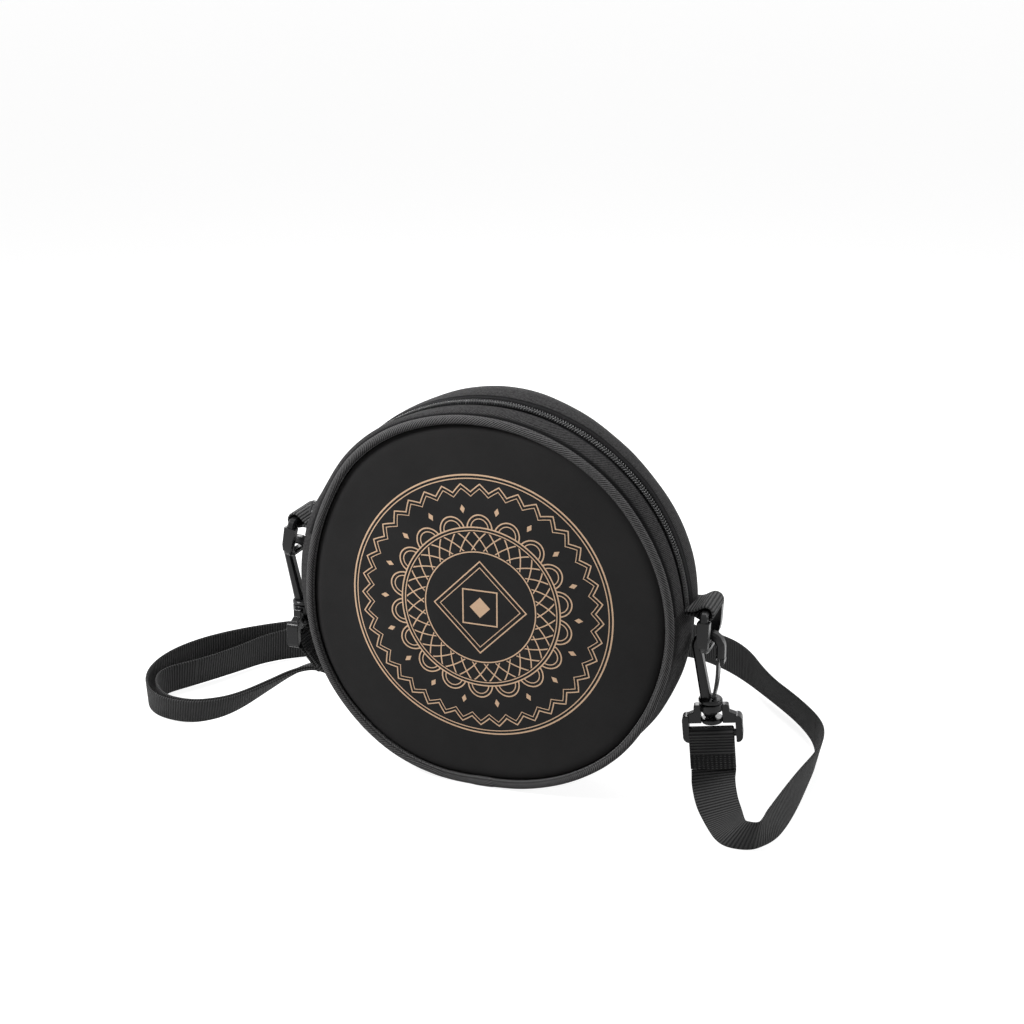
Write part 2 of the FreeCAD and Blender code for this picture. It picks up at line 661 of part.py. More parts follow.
def spine_edge(radius, height):
    """Sideways place of the spine's edge that runs into an arch of this radius."""
    return "(-Size.hook_offset - %s/cos%s + (Size.hook_rise - (%s))*tan%s)" % (radius, LEAN, height, LEAN)


def spine_top(radius):
    """Height at which that edge becomes the arch."""
    return "(Size.hook_rise - %s*sin%s)" % (radius, LEAN)


def snap_hook(label):
    """A hook with its flange, post and head, the swivel's axis upright at the origin."""
    body = doc.addObject("PartDesign::Body", label)
    rise = "Size.hook_rise"
    sunk = "-Size.flange_thick/2"
    outer_top = spine_top("Size.hook_outer")
    inner_top = spine_top("Size.hook_inner")
    profile = outline(body, "XZ_Plane", label + "_outline", (
        (spine_edge("Size.hook_outer", sunk), sunk),
        (spine_edge("Size.hook_outer", outer_top), outer_top, "Size.hook_outer", 1),
        ("-Size.hook_offset", "%s + Size.hook_outer" % rise, "Size.hook_outer", 1),
        (ARCH_RIGHT, rise),
        (ARCH_RIGHT, NOSE_TIP),
        (POCKET_WALL, NOSE_TIP),
        (POCKET_WALL, POCKET_TOP),
        (EYE_RIGHT, POCKET_TOP),
        (EYE_RIGHT, rise, "Size.hook_inner", -1),
        ("-Size.hook_offset", "%s + Size.hook_inner" % rise, "Size.hook_inner", -1),
        (spine_edge("Size.hook_inner", inner_top), inner_top),
        (spine_edge("Size.hook_inner", sunk), sunk),
    ))
    bevel_flats(body, pad(body, profile, "Size.hook_thick"), DEPTH, "Size.hook_bevel")
    many_sided(body, label + "_flange", "Additive", "Size.flange_radius", "-Size.flange_thick", "0")
    round_bar(body, label + "_post", "Additive", "Size.post_radius", HEAD_TOP, sunk)
    head_low = "%s - Size.head_thick" % HEAD_TOP
    many_sided(body, label + "_head", "Additive", "Size.post_head", head_low, HEAD_TOP)
    return keep(body)


# Gate: a bowed strip from the flange up into the nose's pocket.
GATE_TIP = "(%s - Size.gate_play)" % POCKET_TOP
GATE_FACE = "(%s - Size.gate_play)" % POCKET_WALL
GATE_FOOT = "(%s + 2*Size.gate_play + Size.gate_thick)" % spine_edge("Size.hook_inner", "0")


def snap_gate(label):
    """A gate in its hook's own frame."""
    body = doc.addObject("PartDesign::Body", label)
    foot = "Size.gate_play"
    strip = outline(body, "XZ_Plane", label + "_outline", (
        ("%s - Size.gate_thick" % GATE_FOOT, foot),
        (GATE_FOOT, foot, "Size.gate_swell", -1),
        (GATE_FACE, GATE_TIP),
        ("%s - Size.gate_thick" % GATE_FACE, GATE_TIP, "Size.gate_swell", 1),
    ))
    pad(body, strip, "Size.gate_width")
    return keep(body)


# Base: a drum with a window round the post's head, shoulders, two lugs and the strap's bar.
def hook_base(label):
    """A base in its hook's own frame."""
    body = doc.addObject("PartDesign::Body", label)
    shoulder = "(Size.shoulder_width/2)"
    wide = "(Size.base_width/2)"
    slot = "(Size.strap_slot/2)"
    sill = "(%s - Size.sill_height)" % WINDOW_LOW
    low = "(%s - Size.base_height)" % COLLAR_TOP
    corner = "Size.lug_round"
    plate = outline(body, "XZ_Plane", label + "_plate", (
        ("-%s" % shoulder, COLLAR_TOP),
        (shoulder, COLLAR_TOP),
        (shoulder, WINDOW_TOP),
        ("%s - %s" % (wide, corner), "%s - Size.lug_round" % WINDOW_TOP, corner, 1),
        (wide, "%s - 2*Size.lug_round" % WINDOW_TOP),
        (wide, "%s + %s" % (low, corner), corner, 1),
        ("%s - %s" % (wide, corner), low),
        (slot, low),
        (slot, sill),
        ("-%s" % slot, sill),
        ("-%s" % slot, low),
        ("%s - %s" % (corner, wide), low, corner, 1),
        ("-%s" % wide, "%s + %s" % (low, corner)),
        ("-%s" % wide, "%s - 2*Size.lug_round" % WINDOW_TOP, corner, 1),
        ("%s - %s" % (corner, wide), "%s - Size.lug_round" % WINDOW_TOP),
        ("-%s" % shoulder, WINDOW_TOP),
    ))
    pad(body, plate, "Size.base_thick")
    many_sided(body, label + "_drum", "Additive", "Size.drum_radius", sill, COLLAR_TOP)
    bar_height = "%s - Size.base_bar_drop" % COLLAR_TOP
    bar = outline(body, "YZ_Plane", label + "_bar", [
        ("Size.base_bar*cos(%d deg)" % degrees, "%s + Size.base_bar*sin(%d deg)" % (bar_height, degrees))
        for degrees in range(0, 360, 30)
    ])
    pad(body, bar, "%s + %s" % (slot, wide))
    window = outline(body, "XZ_Plane", label + "_window",
                     oblong("Size.window_width/2", WINDOW_LOW, WINDOW_TOP))
    pad(body, window, "3*Size.drum_radius", "PartDesign::Pocket")
    round_bar(body, label + "_bore", "Subtractive", "Size.post_radius + Size.swivel_play",
              "%s - Size.swivel_play" % WINDOW_TOP, "%s + Size.swivel_play" % COLLAR_TOP)
    return keep(body)


LOOP_HOLE = "(Size.base_bar + Size.loop_play)"
SEWN_THICK = "(2*Size.webbing_cloth + Size.strap_seam)"
HOOK_HANG = Vector(value("Size.hook_offset"), 0, value("-Size.hook_rise - Size.hook_seat"))
BASE_BAR = UP * value("%s - Size.base_bar_drop" % COLLAR_TOP)
tails = {}
for side, ring_lean, base_turn, tail_lean in (
    ("right", "0", 0, "Size.right_tail_lean"),
    ("left", "Size.left_ring_lean", 90, "Size.left_tail_lean"),
):
    ring_place = (
        shifted((on_disc(value(TAB_ANGLES[side])) * shifted(ACROSS * value(RING_REACH))).Base)
        * turn(DEPTH, value(ring_lean))
    )
    d_ring(side + "_d_ring").Placement = ring_place
    hung = shifted(ring_place.multVec(-UP * value("Size.ring_drop")) + HOOK_HANG)
    snap_hook(side + "_hook").Placement = hung
    snap_gate(side + "_gate").Placement = hung
    base_place = hung * turn(UP, base_turn)
    hook_base(side + "_hook_base").Placement = base_place
    corner = Vector(value("Size.webbing_width") / -2, value(SEWN_THICK) / -2, -value("Size.tail_length"))
    tail = box("strap_%s_tail" % side, "Size.webbing_width", SEWN_THICK, "Size.tail_length",
               shifted(corner))
    loop = keep(webbing_fold("strap_%s_loop" % side, LOOP_HOLE, tail, LAY_ACROSS))
    loop.Placement = base_place * shifted(BASE_BAR) * turn(ACROSS, -value(tail_lean))
    tails[side] = loop.Placement

# Strap: routes laid by hand over the floor, as (x, y, z) of its middle and the way its width points.
# The right run leaves the right hook, turns on the floor in front and goes round behind the bag.
RIGHT_RUN = (
    (128, -11.5, 12.8, 1, 0.05, 0),
    (137, -23, 8.8, 0.98, 0.15, 0.1),
    (147, -36.5, 7, 0.85, 0.5, 0.15),
    (158, -40, 8.2, 0.4, 0.8, 0.4),
    (167, -28, 10.6, 0.1, 0.6, 0.8),
    (172, -8, 12.9, 0, 0.2, 0.97),
    (175, 15, 13, 0, 0, 1),
    (177, 38, 13, 0.05, 0, 1),
    (178.5, 62, 13, 0.05, 0, 1),
    (175, 86, 13, -0.1, -0.05, 1),
    (160, 108, 12.9, -0.3, -0.2, 0.93),
    (136, 133, 13.2, -0.3, -0.25, 0.92),
    (106, 164, 14.4, -0.2, -0.2, 0.95),
    (84, 181, 15.6, -0.1, -0.1, 1),
)
# The straight run behind the bag, which the strap's slider rides on.
GLIDE_RUN = (
    (64, 188, 16.2, 0, 0, 1),
    (30, 182.62, 16.2, 0, 0, 1),
    (-4, 177.25, 16.2, 0, 0, 1),
    (-38, 171.87, 16.2, 0, 0, 1),
    (-72, 166.5, 16.2, 0, 0, 1),
)
# The outer and inner layers round the loop on the left, up to its tip.
OUTER_BEND = (
    (-104, 157, 14.8, 0, 0, 1),
    (-142, 136, 13, 0, 0, 1),
    (-182, 112, 13, 0.05, -0.05, 1),
    (-212, 88, 13, 0.1, -0.1, 1),
    (-233, 60, 13, 0.1, -0.1, 1),
    (-242, 30, 12.9, 0.1, -0.1, 1),
    (-239, 4, 12.5, 0.1, -0.2, 0.95),
    (-229, -17.5, 11.4, 0.1, -0.5, 0.85),
)
INNER_BEND = (
    (-102, 152.5, 14.8, 0, 0, 1),
    (-139, 131, 13, 0, 0, 1),
    (-173, 107.5, 13, 0.1, -0.1, 1),
    (-196, 86, 12.8, 0.2, -0.25, 0.95),
    (-207, 60, 12.4, 0.3, -0.3, 0.9),
    (-217, 32, 12, 0.35, -0.3, 0.88),
    (-231, 10, 11.9, 0.2, -0.3, 0.9),
    (-227, -10, 11.4, 0.1, -0.5, 0.85),
)
# Both layers from the tip of that loop up to the left hook.
LEFT_RUN = (
    (-204, -22.5, 11.6, 0.3, -0.5, 0.8),
    (-178, -13.5, 15, 0.3, -0.3, 0.9),
    (-154, -4, 24.5, 0.3, 0.45, 0.83),
    (-136, 0, 32.6, 0.2, 0.9, 0.35),
    (-122.5, 0, 35.4, 0.05, 1, 0.1),
    (-112.4, 0, 35, 0, 1, 0),
)


def beside(route, before, after, gap):
    """A route moved sideways off the webbing's face, between the points before and after it."""
    chain = (before,) + tuple(route) + (after,)
    moved = []
    for index, point in enumerate(route):
        here = Vector(*point[:3])
        arrive = (here - Vector(*chain[index][:3])).normalize()
        leave = (Vector(*chain[index + 2][:3]) - here).normalize()
        heading = arrive + leave
        side = heading.cross(Vector(*point[3:])).normalize() * gap * 2 / heading.Length
        moved.append((point[0] + side.x, point[1] + side.y, point[2] + side.z) + tuple(point[3:]))
    return tuple(moved)


def rails(route):
    """The webbing's two edges, as curves drawn by the route's points."""
    half = value("Size.webbing_width/2")
    edges = []
    for sign in (1, -1):
        poles = [Vector(*point[:3]) + Vector(*point[3:]).normalize() * half * sign for point in route]
        edge = Part.BSplineCurve()
        edge.buildFromPolesMultsKnots(poles, degree=2)
        edges.append(edge)
    return edges


def webbing(label, route, spans=4):
    """Flat webbing of even width and thickness along a route."""
    top, low = rails(route)
    half = value("Size.webbing_width/2")
    thick = value("Size.webbing_cloth/2")
    count = spans * (len(route) - 2)
    sections = []
    length = 0
    last = None
    for index in range(count + 1):
        share = top.FirstParameter + (top.LastParameter - top.FirstParameter) * index / count
        middle = (top.value(share) + low.value(share)) / 2
        across = (top.value(share) - low.value(share)).normalize() * half
        heading = top.getD1(share)[1] + low.getD1(share)[1]
        out = heading.cross(across).normalize() * thick
        corners = [middle + across + out, middle - across + out, middle - across - out,
                   middle + across - out]
        sections.append(corners)
        if last is not None:
            length += (middle - last).Length
        last = middle
    strap = doc.addObject("Part::Feature", label)
    facets = [flat(sections[0][::-1]), flat(sections[-1])]
    for one, two in zip(sections, sections[1:]):
        for side, after in ((0, 1), (1, 2), (3, 2), (0, 3)):
            facets.append(flat((one[side], one[after], two[after])))
            facets.append(flat((one[side], two[after], two[side])))
    strap.Shape = closed_solid(facets)
    strap.Placement = Placement()
    print("%s length %.0f mm" % (label, length))
    return strap


def tail_lead(side, offset):
    """The points where one layer comes straight out of a hook's doubled tail, nearest the tail last."""
    width = tails[side].Rotation.multVec(ACROSS)
    points = []
    for lead in ("Size.tail_lead", "0"):
        drop = value("Size.tail_length + Size.layer_gap + %s" % lead)
        place = tails[side].multVec(Vector(0, offset, -drop))
        points.append((place.x, place.y, place.z, width.x, width.y, width.z))
    return tuple(points)


layer = value("(Size.webbing_cloth + Size.strap_seam)/2")
outer_lead = tail_lead("left", layer)
inner_lead = tail_lead("left", -layer)
outer_run = beside(LEFT_RUN, OUTER_BEND[-1], outer_lead[0], layer)
inner_run = beside(LEFT_RUN, INNER_BEND[-1], inner_lead[0], -layer)
right_lead = tail_lead("right", 0)[::-1]
keep(webbing("strap_main", right_lead + RIGHT_RUN + GLIDE_RUN + OUTER_BEND + outer_run + outer_lead))

# Strap slider: two rails, side bars behind the strap and a middle bar in front of it, which the
# strap's own end is sewn round. Local X is along the strap, +Y away from the bag.
run_start = Vector(*GLIDE_RUN[0][:3])
run_end = Vector(*GLIDE_RUN[-1][:3])
run_angle = math.degrees(math.atan2(run_start.y - run_end.y, run_start.x - run_end.x))
GLIDE_REST = 0.4
glide_place = Placement(run_start + (run_end - run_start) * GLIDE_REST, Rotation(UP, run_angle))

triglide = keep(doc.addObject("PartDesign::Body", "triglide"))
half = "(Size.glide_length/2)"
SIDE_NEAR = "(Size.webbing_cloth/2 + Size.glide_play)"
SIDE_FAR = "(%s + Size.glide_thick)" % SIDE_NEAR
LOOP_NEAR = "(Size.webbing_cloth/2 + Size.strap_seam)"
MIDDLE_NEAR = "(%s + Size.webbing_cloth + Size.loop_play)" % LOOP_NEAR
MIDDLE_FAR = "(%s + Size.glide_thick)" % MIDDLE_NEAR
INSIDE = "(Size.webbing_width + 2*Size.glide_play)"


def bar_outline(left, right, near, far):
    """Corners of one bar of the strap slider."""
    return ((left, near), (right, near), (right, far), (left, far))


rail_outline = (
    ("-%s" % half, SIDE_FAR),
    ("-%s" % half, "0"),
    ("-Size.glide_middle", "-%s" % MIDDLE_FAR),
    ("Size.glide_middle", "-%s" % MIDDLE_FAR),
    (half, "0"),
    (half, SIDE_FAR),
)
block = pad(triglide, outline(triglide, "XY_Plane", "glide_rails", rail_outline),
            "%s + 2*Size.glide_rail" % INSIDE)
spaces = outline(
    triglide, "XY_Plane", "glide_spaces",
    bar_outline("-Size.glide_length", "Size.glide_length", "-Size.glide_length", "Size.glide_length"),
    bar_outline("-%s" % half, "Size.glide_bar - %s" % half, SIDE_NEAR, SIDE_FAR),
    bar_outline("%s - Size.glide_bar" % half, half, SIDE_NEAR, SIDE_FAR),
    bar_outline("-Size.glide_middle/2", "Size.glide_middle/2", "-%s" % MIDDLE_FAR, "-%s" % MIDDLE_NEAR),
)
pad(triglide, spaces, INSIDE, "PartDesign::Pocket")
triglide.Placement = glide_place

glide_loop = keep(doc.addObject("PartDesign::Body", "strap_glide_loop"))
LOOP_HALF = "(Size.glide_middle/2 + Size.loop_play)"
LOOP_FAR = "(%s + Size.loop_play + Size.webbing_cloth)" % MIDDLE_FAR
pad(glide_loop, outline(
    glide_loop, "XY_Plane", "glide_loop_outline",
    bar_outline("-%s - Size.webbing_cloth" % LOOP_HALF, "%s + Size.webbing_cloth" % LOOP_HALF,
                "-%s" % LOOP_FAR, "-%s" % LOOP_NEAR),
    bar_outline("-%s" % LOOP_HALF, LOOP_HALF, "-%s - Size.loop_play" % MIDDLE_FAR,
                "Size.loop_play - %s" % MIDDLE_NEAR),
), "Size.webbing_width")
glide_loop.Placement = glide_place

# The second layer runs from the left hook beside the first one to the loop on the strap's slider.
LOOP_SIDE = value("-(%s + Size.webbing_cloth/2)" % LOOP_NEAR)
leave = value("-(%s + Size.webbing_cloth + Size.layer_gap)" % LOOP_HALF)
loop_exit = glide_place.multVec(Vector(leave, LOOP_SIDE, 0))
second_run = [(loop_exit.x, loop_exit.y, loop_exit.z, 0, 0, 1)]
for point in GLIDE_RUN[3:]:
    moved = Vector(*point[:3]) + glide_place.Rotation.multVec(DEPTH * LOOP_SIDE)
    second_run.append((moved.x, moved.y, moved.z, 0, 0, 1))
keep(webbing("strap_return", tuple(second_run) + INNER_BEND + inner_run + inner_lead))

doc.recompute()
for thing in doc.Objects:
    if any(word in ("Invalid", "Error") for word in thing.State):
        raise RuntimeError("%s failed: %s" % (thing.Label, thing.State))
for piece in pieces:
    if piece.Shape.isNull() or not piece.Shape.isValid():
        raise RuntimeError("%s has no sound shape" % piece.Label)
os.makedirs("parts", exist_ok=True)
for piece in pieces:
    piece.Shape.exportStep("parts/%s.step" % piece.Label)
print("%d pieces" % len(pieces))
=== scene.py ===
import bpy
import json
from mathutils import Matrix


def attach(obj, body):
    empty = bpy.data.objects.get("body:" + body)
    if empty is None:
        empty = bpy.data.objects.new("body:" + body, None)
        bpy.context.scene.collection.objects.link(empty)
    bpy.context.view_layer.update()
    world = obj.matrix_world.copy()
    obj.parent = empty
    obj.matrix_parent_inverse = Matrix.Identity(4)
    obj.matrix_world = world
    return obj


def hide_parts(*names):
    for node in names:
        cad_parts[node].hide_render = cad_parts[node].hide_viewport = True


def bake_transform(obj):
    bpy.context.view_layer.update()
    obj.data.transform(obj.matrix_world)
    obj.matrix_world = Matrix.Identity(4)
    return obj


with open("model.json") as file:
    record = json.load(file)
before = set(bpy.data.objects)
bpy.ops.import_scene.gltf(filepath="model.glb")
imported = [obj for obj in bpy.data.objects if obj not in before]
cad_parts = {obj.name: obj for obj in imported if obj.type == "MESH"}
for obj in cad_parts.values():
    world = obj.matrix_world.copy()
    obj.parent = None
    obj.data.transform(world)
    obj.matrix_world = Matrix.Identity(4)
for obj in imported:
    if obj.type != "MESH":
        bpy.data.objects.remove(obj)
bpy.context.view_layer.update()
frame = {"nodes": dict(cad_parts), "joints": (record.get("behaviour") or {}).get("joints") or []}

import json
import math

import bmesh
import bpy
from mathutils import Matrix, Vector, noise


# The table and its light: white card in a pale room, a soft key lamp at the upper left front, one overhead,
# one at the right and one behind for the edges. They show the bag and aren't pieces of it.
ROOM_LIGHT = 0.12
CARD_GLOW = 0.89
FLOOR_CORNERS = [(-30, -30, 0), (30, -30, 0), (30, 30, 0), (-30, 30, 0)]

scene = bpy.context.scene
scene.view_settings.view_transform = "Standard"


class Wire:
    """An output in a node tree, so that the patterns can be written as sums."""

    def __init__(self, tree, socket):
        self.tree = tree
        self.socket = socket

    def math(self, operation, other=0.0):
        made = self.tree.nodes.new("ShaderNodeMath")
        made.operation = operation
        for socket, value in zip(made.inputs, (self, other)):
            plug(self.tree, socket, value)
        return Wire(self.tree, made.outputs[0])

    def __add__(self, other):
        return self.math("ADD", other)

    def __sub__(self, other):
        return self.math("SUBTRACT", other)

    def __mul__(self, other):
        return self.math("MULTIPLY", other)

    def __or__(self, other):
        return self.math("MAXIMUM", other)

    def wave(self, pitch):
        """0 to 1 and back once in each pitch."""
        return (self * (2 * math.pi / pitch)).math("SINE") * 0.5 + 0.5

    def near(self, place, half):
        """1 within half of place, else 0."""
        return (self - place).math("ABSOLUTE").math("LESS_THAN", half)


def plug(tree, socket, value):
    """Links a wire to a socket, or sets the socket to a plain value."""
    if isinstance(value, Wire):
        tree.links.new(value.socket, socket)
    else:
        socket.default_value = value


def node(tree, kind, **values):
    """A new node with its inputs plugged by name."""
    made = tree.nodes.new(kind)
    for name, value in values.items():
        plug(tree, made.inputs[name.replace("_", " ")], value)
    return made


def camera_sees(tree):
    """1 for rays from the camera, and from gloss and clear pieces that should show the same white."""
    path = tree.nodes.new("ShaderNodeLightPath")
    rays = ("Is Camera Ray", "Is Glossy Ray", "Is Transmission Ray")
    seen = [Wire(tree, path.outputs[name]) for name in rays]
    return seen[0] | seen[1] | seen[2]


world = bpy.data.worlds.new("pale_room")
world.use_nodes = True
world.node_tree.nodes.clear()
room = node(world.node_tree, "ShaderNodeBackground", Color=(1, 1, 1, 1),
            Strength=camera_sees(world.node_tree) * (1 - ROOM_LIGHT) + ROOM_LIGHT)
room_out = world.node_tree.nodes.new("ShaderNodeOutputWorld")
world.node_tree.links.new(room.outputs[0], room_out.inputs["Surface"])
scene.world = world

card = bpy.data.materials.new("white_card")
card.use_nodes = True
card_shader = card.node_tree.nodes["Principled BSDF"]
card_shader.inputs["Base Color"].default_value = (0.4, 0.4, 0.4, 1)
card_shader.inputs["Roughness"].default_value = 0.9
card_shader.inputs["Specular IOR Level"].default_value = 0.1
card_shader.inputs["Emission Color"].default_value = (1, 1, 1, 1)
plug(card.node_tree, card_shader.inputs["Emission Strength"], camera_sees(card.node_tree) * CARD_GLOW)

floor_mesh = bpy.data.meshes.new("floor")
floor_mesh.from_pydata(FLOOR_CORNERS, [], [(0, 1, 2, 3)])
floor_mesh.materials.append(card)
floor = bpy.data.objects.new("floor", floor_mesh)
scene.collection.objects.link(floor)


def soft_lamp(name, place, aim, power, size):
    lamp = bpy.data.lights.new(name, "AREA")
    lamp.energy = power
    lamp.size = size
    holder = bpy.data.objects.new(name, lamp)
    holder.location = place
    holder.rotation_euler = (Vector(aim) - Vector(place)).to_track_quat("-Z", "Y").to_euler()
    scene.collection.objects.link(holder)


soft_lamp("key_lamp", (-0.62, -0.42, 0.72), (-0.05, 0, 0.14), power=10, size=0.3)
soft_lamp("top_lamp", (0.1, 0.1, 1.4), (0, 0, 0.12), power=9, size=0.3)
soft_lamp("side_lamp", (1.15, 0.4, 0.4), (0.08, 0, 0.1), power=6, size=0.35)
soft_lamp("rim_lamp", (-0.45, 1.2, 0.55), (0, 0, 0.1), power=5, size=0.5)

AIM = Vector((0.0085, 0, 0.1585))
DISTANCE = 0.8976
AZIMUTH = math.radians(20)
ELEVATION = math.radians(18.5)
VIEW_ANGLE = math.radians(35)
lens = bpy.data.cameras.new("camera")
lens.angle = VIEW_ANGLE
camera = bpy.data.objects.new("camera", lens)
camera.location = AIM + DISTANCE * Vector((math.cos(ELEVATION) * math.sin(AZIMUTH),
                                           -math.cos(ELEVATION) * math.cos(AZIMUTH), math.sin(ELEVATION)))
camera.rotation_euler = (AIM - camera.location).to_track_quat("-Z", "Y").to_euler()
scene.collection.objects.link(camera)
scene.camera = camera


# The two padded faces: discs of charcoal woven cloth over thin foam, cut round and sewn into the edge seam.
# The front one carries a tan line print of nested rings; the back one is plain.
MM = 0.001
CENTRE = Vector((-0.9, 0, 110)) * MM
FACE_REACH, FACE_CROWN, FACE_BACK = 103.7, 1.6, 21.45
SEAM_DEPTH = 24.3
FACE_THREAD = 0.75 * MM


def new_finish(name, roughness, **constants):
    """A material and its shader, with the settings that are the same all over it."""
    finish = bpy.data.materials.new(name)
    finish.use_nodes = True
    shader = finish.node_tree.nodes["Principled BSDF"]
    shader.inputs["Roughness"].default_value = roughness
    for key, value in constants.items():
        shader.inputs[key.replace("_", " ")].default_value = value
    return finish, finish.node_tree, shader


def new_pattern(name, takes, gives):
    """A node group of named values; returns its tree, what it takes as wires, and its output sockets."""
    tree = bpy.data.node_groups.new(name, "ShaderNodeTree")
    for label, kind in takes.items():
        tree.interface.new_socket(label, in_out="INPUT", socket_type="NodeSocket" + kind)
    for label in gives:
        tree.interface.new_socket(label, in_out="OUTPUT", socket_type="NodeSocketFloat")
    start = tree.nodes.new("NodeGroupInput")
    end = tree.nodes.new("NodeGroupOutput")
    return tree, {label: Wire(tree, start.outputs[label]) for label in takes}, end.inputs


def use_pattern(tree, name, **values):
    """A group placed in a material; returns its outputs by name."""
    made = tree.nodes.new("ShaderNodeGroup")
    made.node_tree = bpy.data.node_groups[name]
    for label, value in values.items():
        plug(tree, made.inputs[label], value)
    return {socket.name: Wire(tree, socket) for socket in made.outputs}


def split(tree, vector):
    """The three parts of a vector wire."""
    made = node(tree, "ShaderNodeSeparateXYZ", Vector=vector)
    return [Wire(tree, socket) for socket in made.outputs]


def place_of(tree, kind="Object"):
    """Where on the piece a point is: Object in metres of the bag, UV in metres along and across."""
    return Wire(tree, tree.nodes.new("ShaderNodeTexCoord").outputs[kind])


def between(tree, amount, low, high):
    """A colour that goes from low to high as amount goes from 0 to 1."""
    made = tree.nodes.new("ShaderNodeMix")
    made.data_type = "RGBA"
    plug(tree, made.inputs["Factor"], amount)
    plug(tree, made.inputs[6], low)
    plug(tree, made.inputs[7], high)
    return Wire(tree, made.outputs[2])


def raised(tree, shader, height, depth, strength=1.0):
    """Turns a height of 0 to 1 into relief of that depth in metres."""
    bump = node(tree, "ShaderNodeBump", Strength=strength, Distance=depth, Height=height)
    tree.links.new(bump.outputs["Normal"], shader.inputs["Normal"])


mottle, given, result = new_pattern("mottle", {"Place": "Vector", "Scale": "Float"}, ["Shade"])
cloud = node(mottle, "ShaderNodeTexNoise", Vector=given["Place"], Scale=given["Scale"],
             Detail=4.0, Roughness=0.6)
plug(mottle, result["Shade"], Wire(mottle, cloud.outputs["Fac"]))

plain_weave, given, result = new_pattern("plain_weave", {"Along": "Float", "Across": "Float"}, ["Height"])
threads = (given["Along"].wave(FACE_THREAD) - 0.5) * (given["Across"].wave(FACE_THREAD) - 0.5)
plug(plain_weave, result["Height"], threads * 2 + 0.5)


def on_lines(distance, *lines):
    """1 on lines at these distances, each given with half of its width, in millimetres."""
    masks = [distance.near(place, half) for place, half in lines]
    found = masks[0]
    for mask in masks[1:]:
        found = found | mask
    return found


ZIGZAG_POINTS, ZIGZAG_RISE, ARCHES, LATTICE_BARS = 40, 4.5, 18, 30
ARCH_RING, DIAMOND_RING, LATTICE_RING = 46.5, 57, 38.5
nested_rings, given, result = new_pattern("nested_rings", {"Across": "Float", "Up": "Float"}, ["Ink"])
across, up = given["Across"] * 1000, given["Up"] * 1000
reach = (across * across + up * up).math("SQRT")
share = up.math("ARCTAN2", across) * (0.5 / math.pi)
saw = ((share * ZIGZAG_POINTS).math("FRACT") - 0.5).math("ABSOLUTE") * 2
zigzag = reach - saw * ZIGZAG_RISE
sideways = ((share * ARCHES).math("FRACT") - 0.5) * reach * (2 * math.pi / ARCHES)
shifted = ((share * ARCHES + 0.5).math("FRACT") - 0.5) * reach * (2 * math.pi / ARCHES)
outward = reach - ARCH_RING
arch = (sideways * sideways + outward * outward).math("SQRT")
past_ring = outward.math("GREATER_THAN", 0.0)
diamond = shifted.math("ABSOLUTE") * 0.7 + (reach - DIAMOND_RING).math("ABSOLUTE") * 0.4
net = ((share * LATTICE_BARS + reach * 0.1).math("FRACT").near(0.5, 0.055)
       | (share * LATTICE_BARS - reach * 0.1).math("FRACT").near(0.5, 0.055))
square = across.math("ABSOLUTE") + up.math("ABSOLUTE")
upright = across.math("ABSOLUTE") | up.math("ABSOLUTE")
ink = on_lines(reach, (76, 0.45), (74, 0.3), (ARCH_RING, 0.4), (44.6, 0.3), (32.4, 0.35))
ink = ink | on_lines(zigzag, (66.5, 0.45), (64, 0.3))
ink = ink | on_lines(arch, (7.2, 0.4), (5, 0.3)) * past_ring
ink = ink | diamond.math("LESS_THAN", 1.0)
ink = ink | net * reach.near(LATTICE_RING, 5.2)
ink = ink | on_lines(square, (27, 0.5), (23.5, 0.35)) | square.math("LESS_THAN", 6.0) | upright.near(10, 0.4)
plug(nested_rings, result["Ink"], ink)


def face_finish(name, printed):
    finish, tree, shader = new_finish(name, 0.85, Specular_IOR_Level=0.05)
    place = place_of(tree)
    east, _, high = split(tree, place)
    weave = use_pattern(tree, "plain_weave", Along=east, Across=high)["Height"]
    fading = use_pattern(tree, "mottle", Place=place, Scale=28.0)["Shade"]
    cloth = between(tree, weave * 0.6 + fading * 0.5, (0.012, 0.012, 0.0125, 1), (0.041, 0.04, 0.04, 1))
    if printed:
        mask = use_pattern(tree, "nested_rings", Across=east - CENTRE.x, Up=high - CENTRE.z)["Ink"]
        tan = between(tree, weave, (0.62, 0.4, 0.25, 1), (1.0, 0.72, 0.5, 1))
        cloth = between(tree, mask * (fading * 0.3 + 0.8), cloth, tan)
    plug(tree, shader.inputs["Base Color"], cloth)
    raised(tree, shader, weave + fading * 0.4, 0.12 * MM, 0.7)
    return finish


def new_piece(name, vertices, faces):
    """A smooth mesh in the scene, with its faces turned outward."""
    mesh = bpy.data.meshes.new(name)
    mesh.from_pydata([tuple(vertex) for vertex in vertices], [], faces)
    mesh.validate()
    shaped = bmesh.new()
    shaped.from_mesh(mesh)
    bmesh.ops.recalc_face_normals(shaped, faces=shaped.faces)
    shaped.to_mesh(mesh)
    shaped.free()
    mesh.shade_smooth()
    piece = bpy.data.objects.new(name, mesh)
    scene.collection.objects.link(piece)
    return piece


def dress(piece, finish, body, slot, *nodes):
    """Gives a piece its finish and its body, and hides the solids that it stands for; slot is not used."""
    piece.data.materials.clear()
    piece.data.materials.append(finish)
    if body:
        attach(piece, body)
    if nodes:
        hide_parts(*nodes)
    return piece


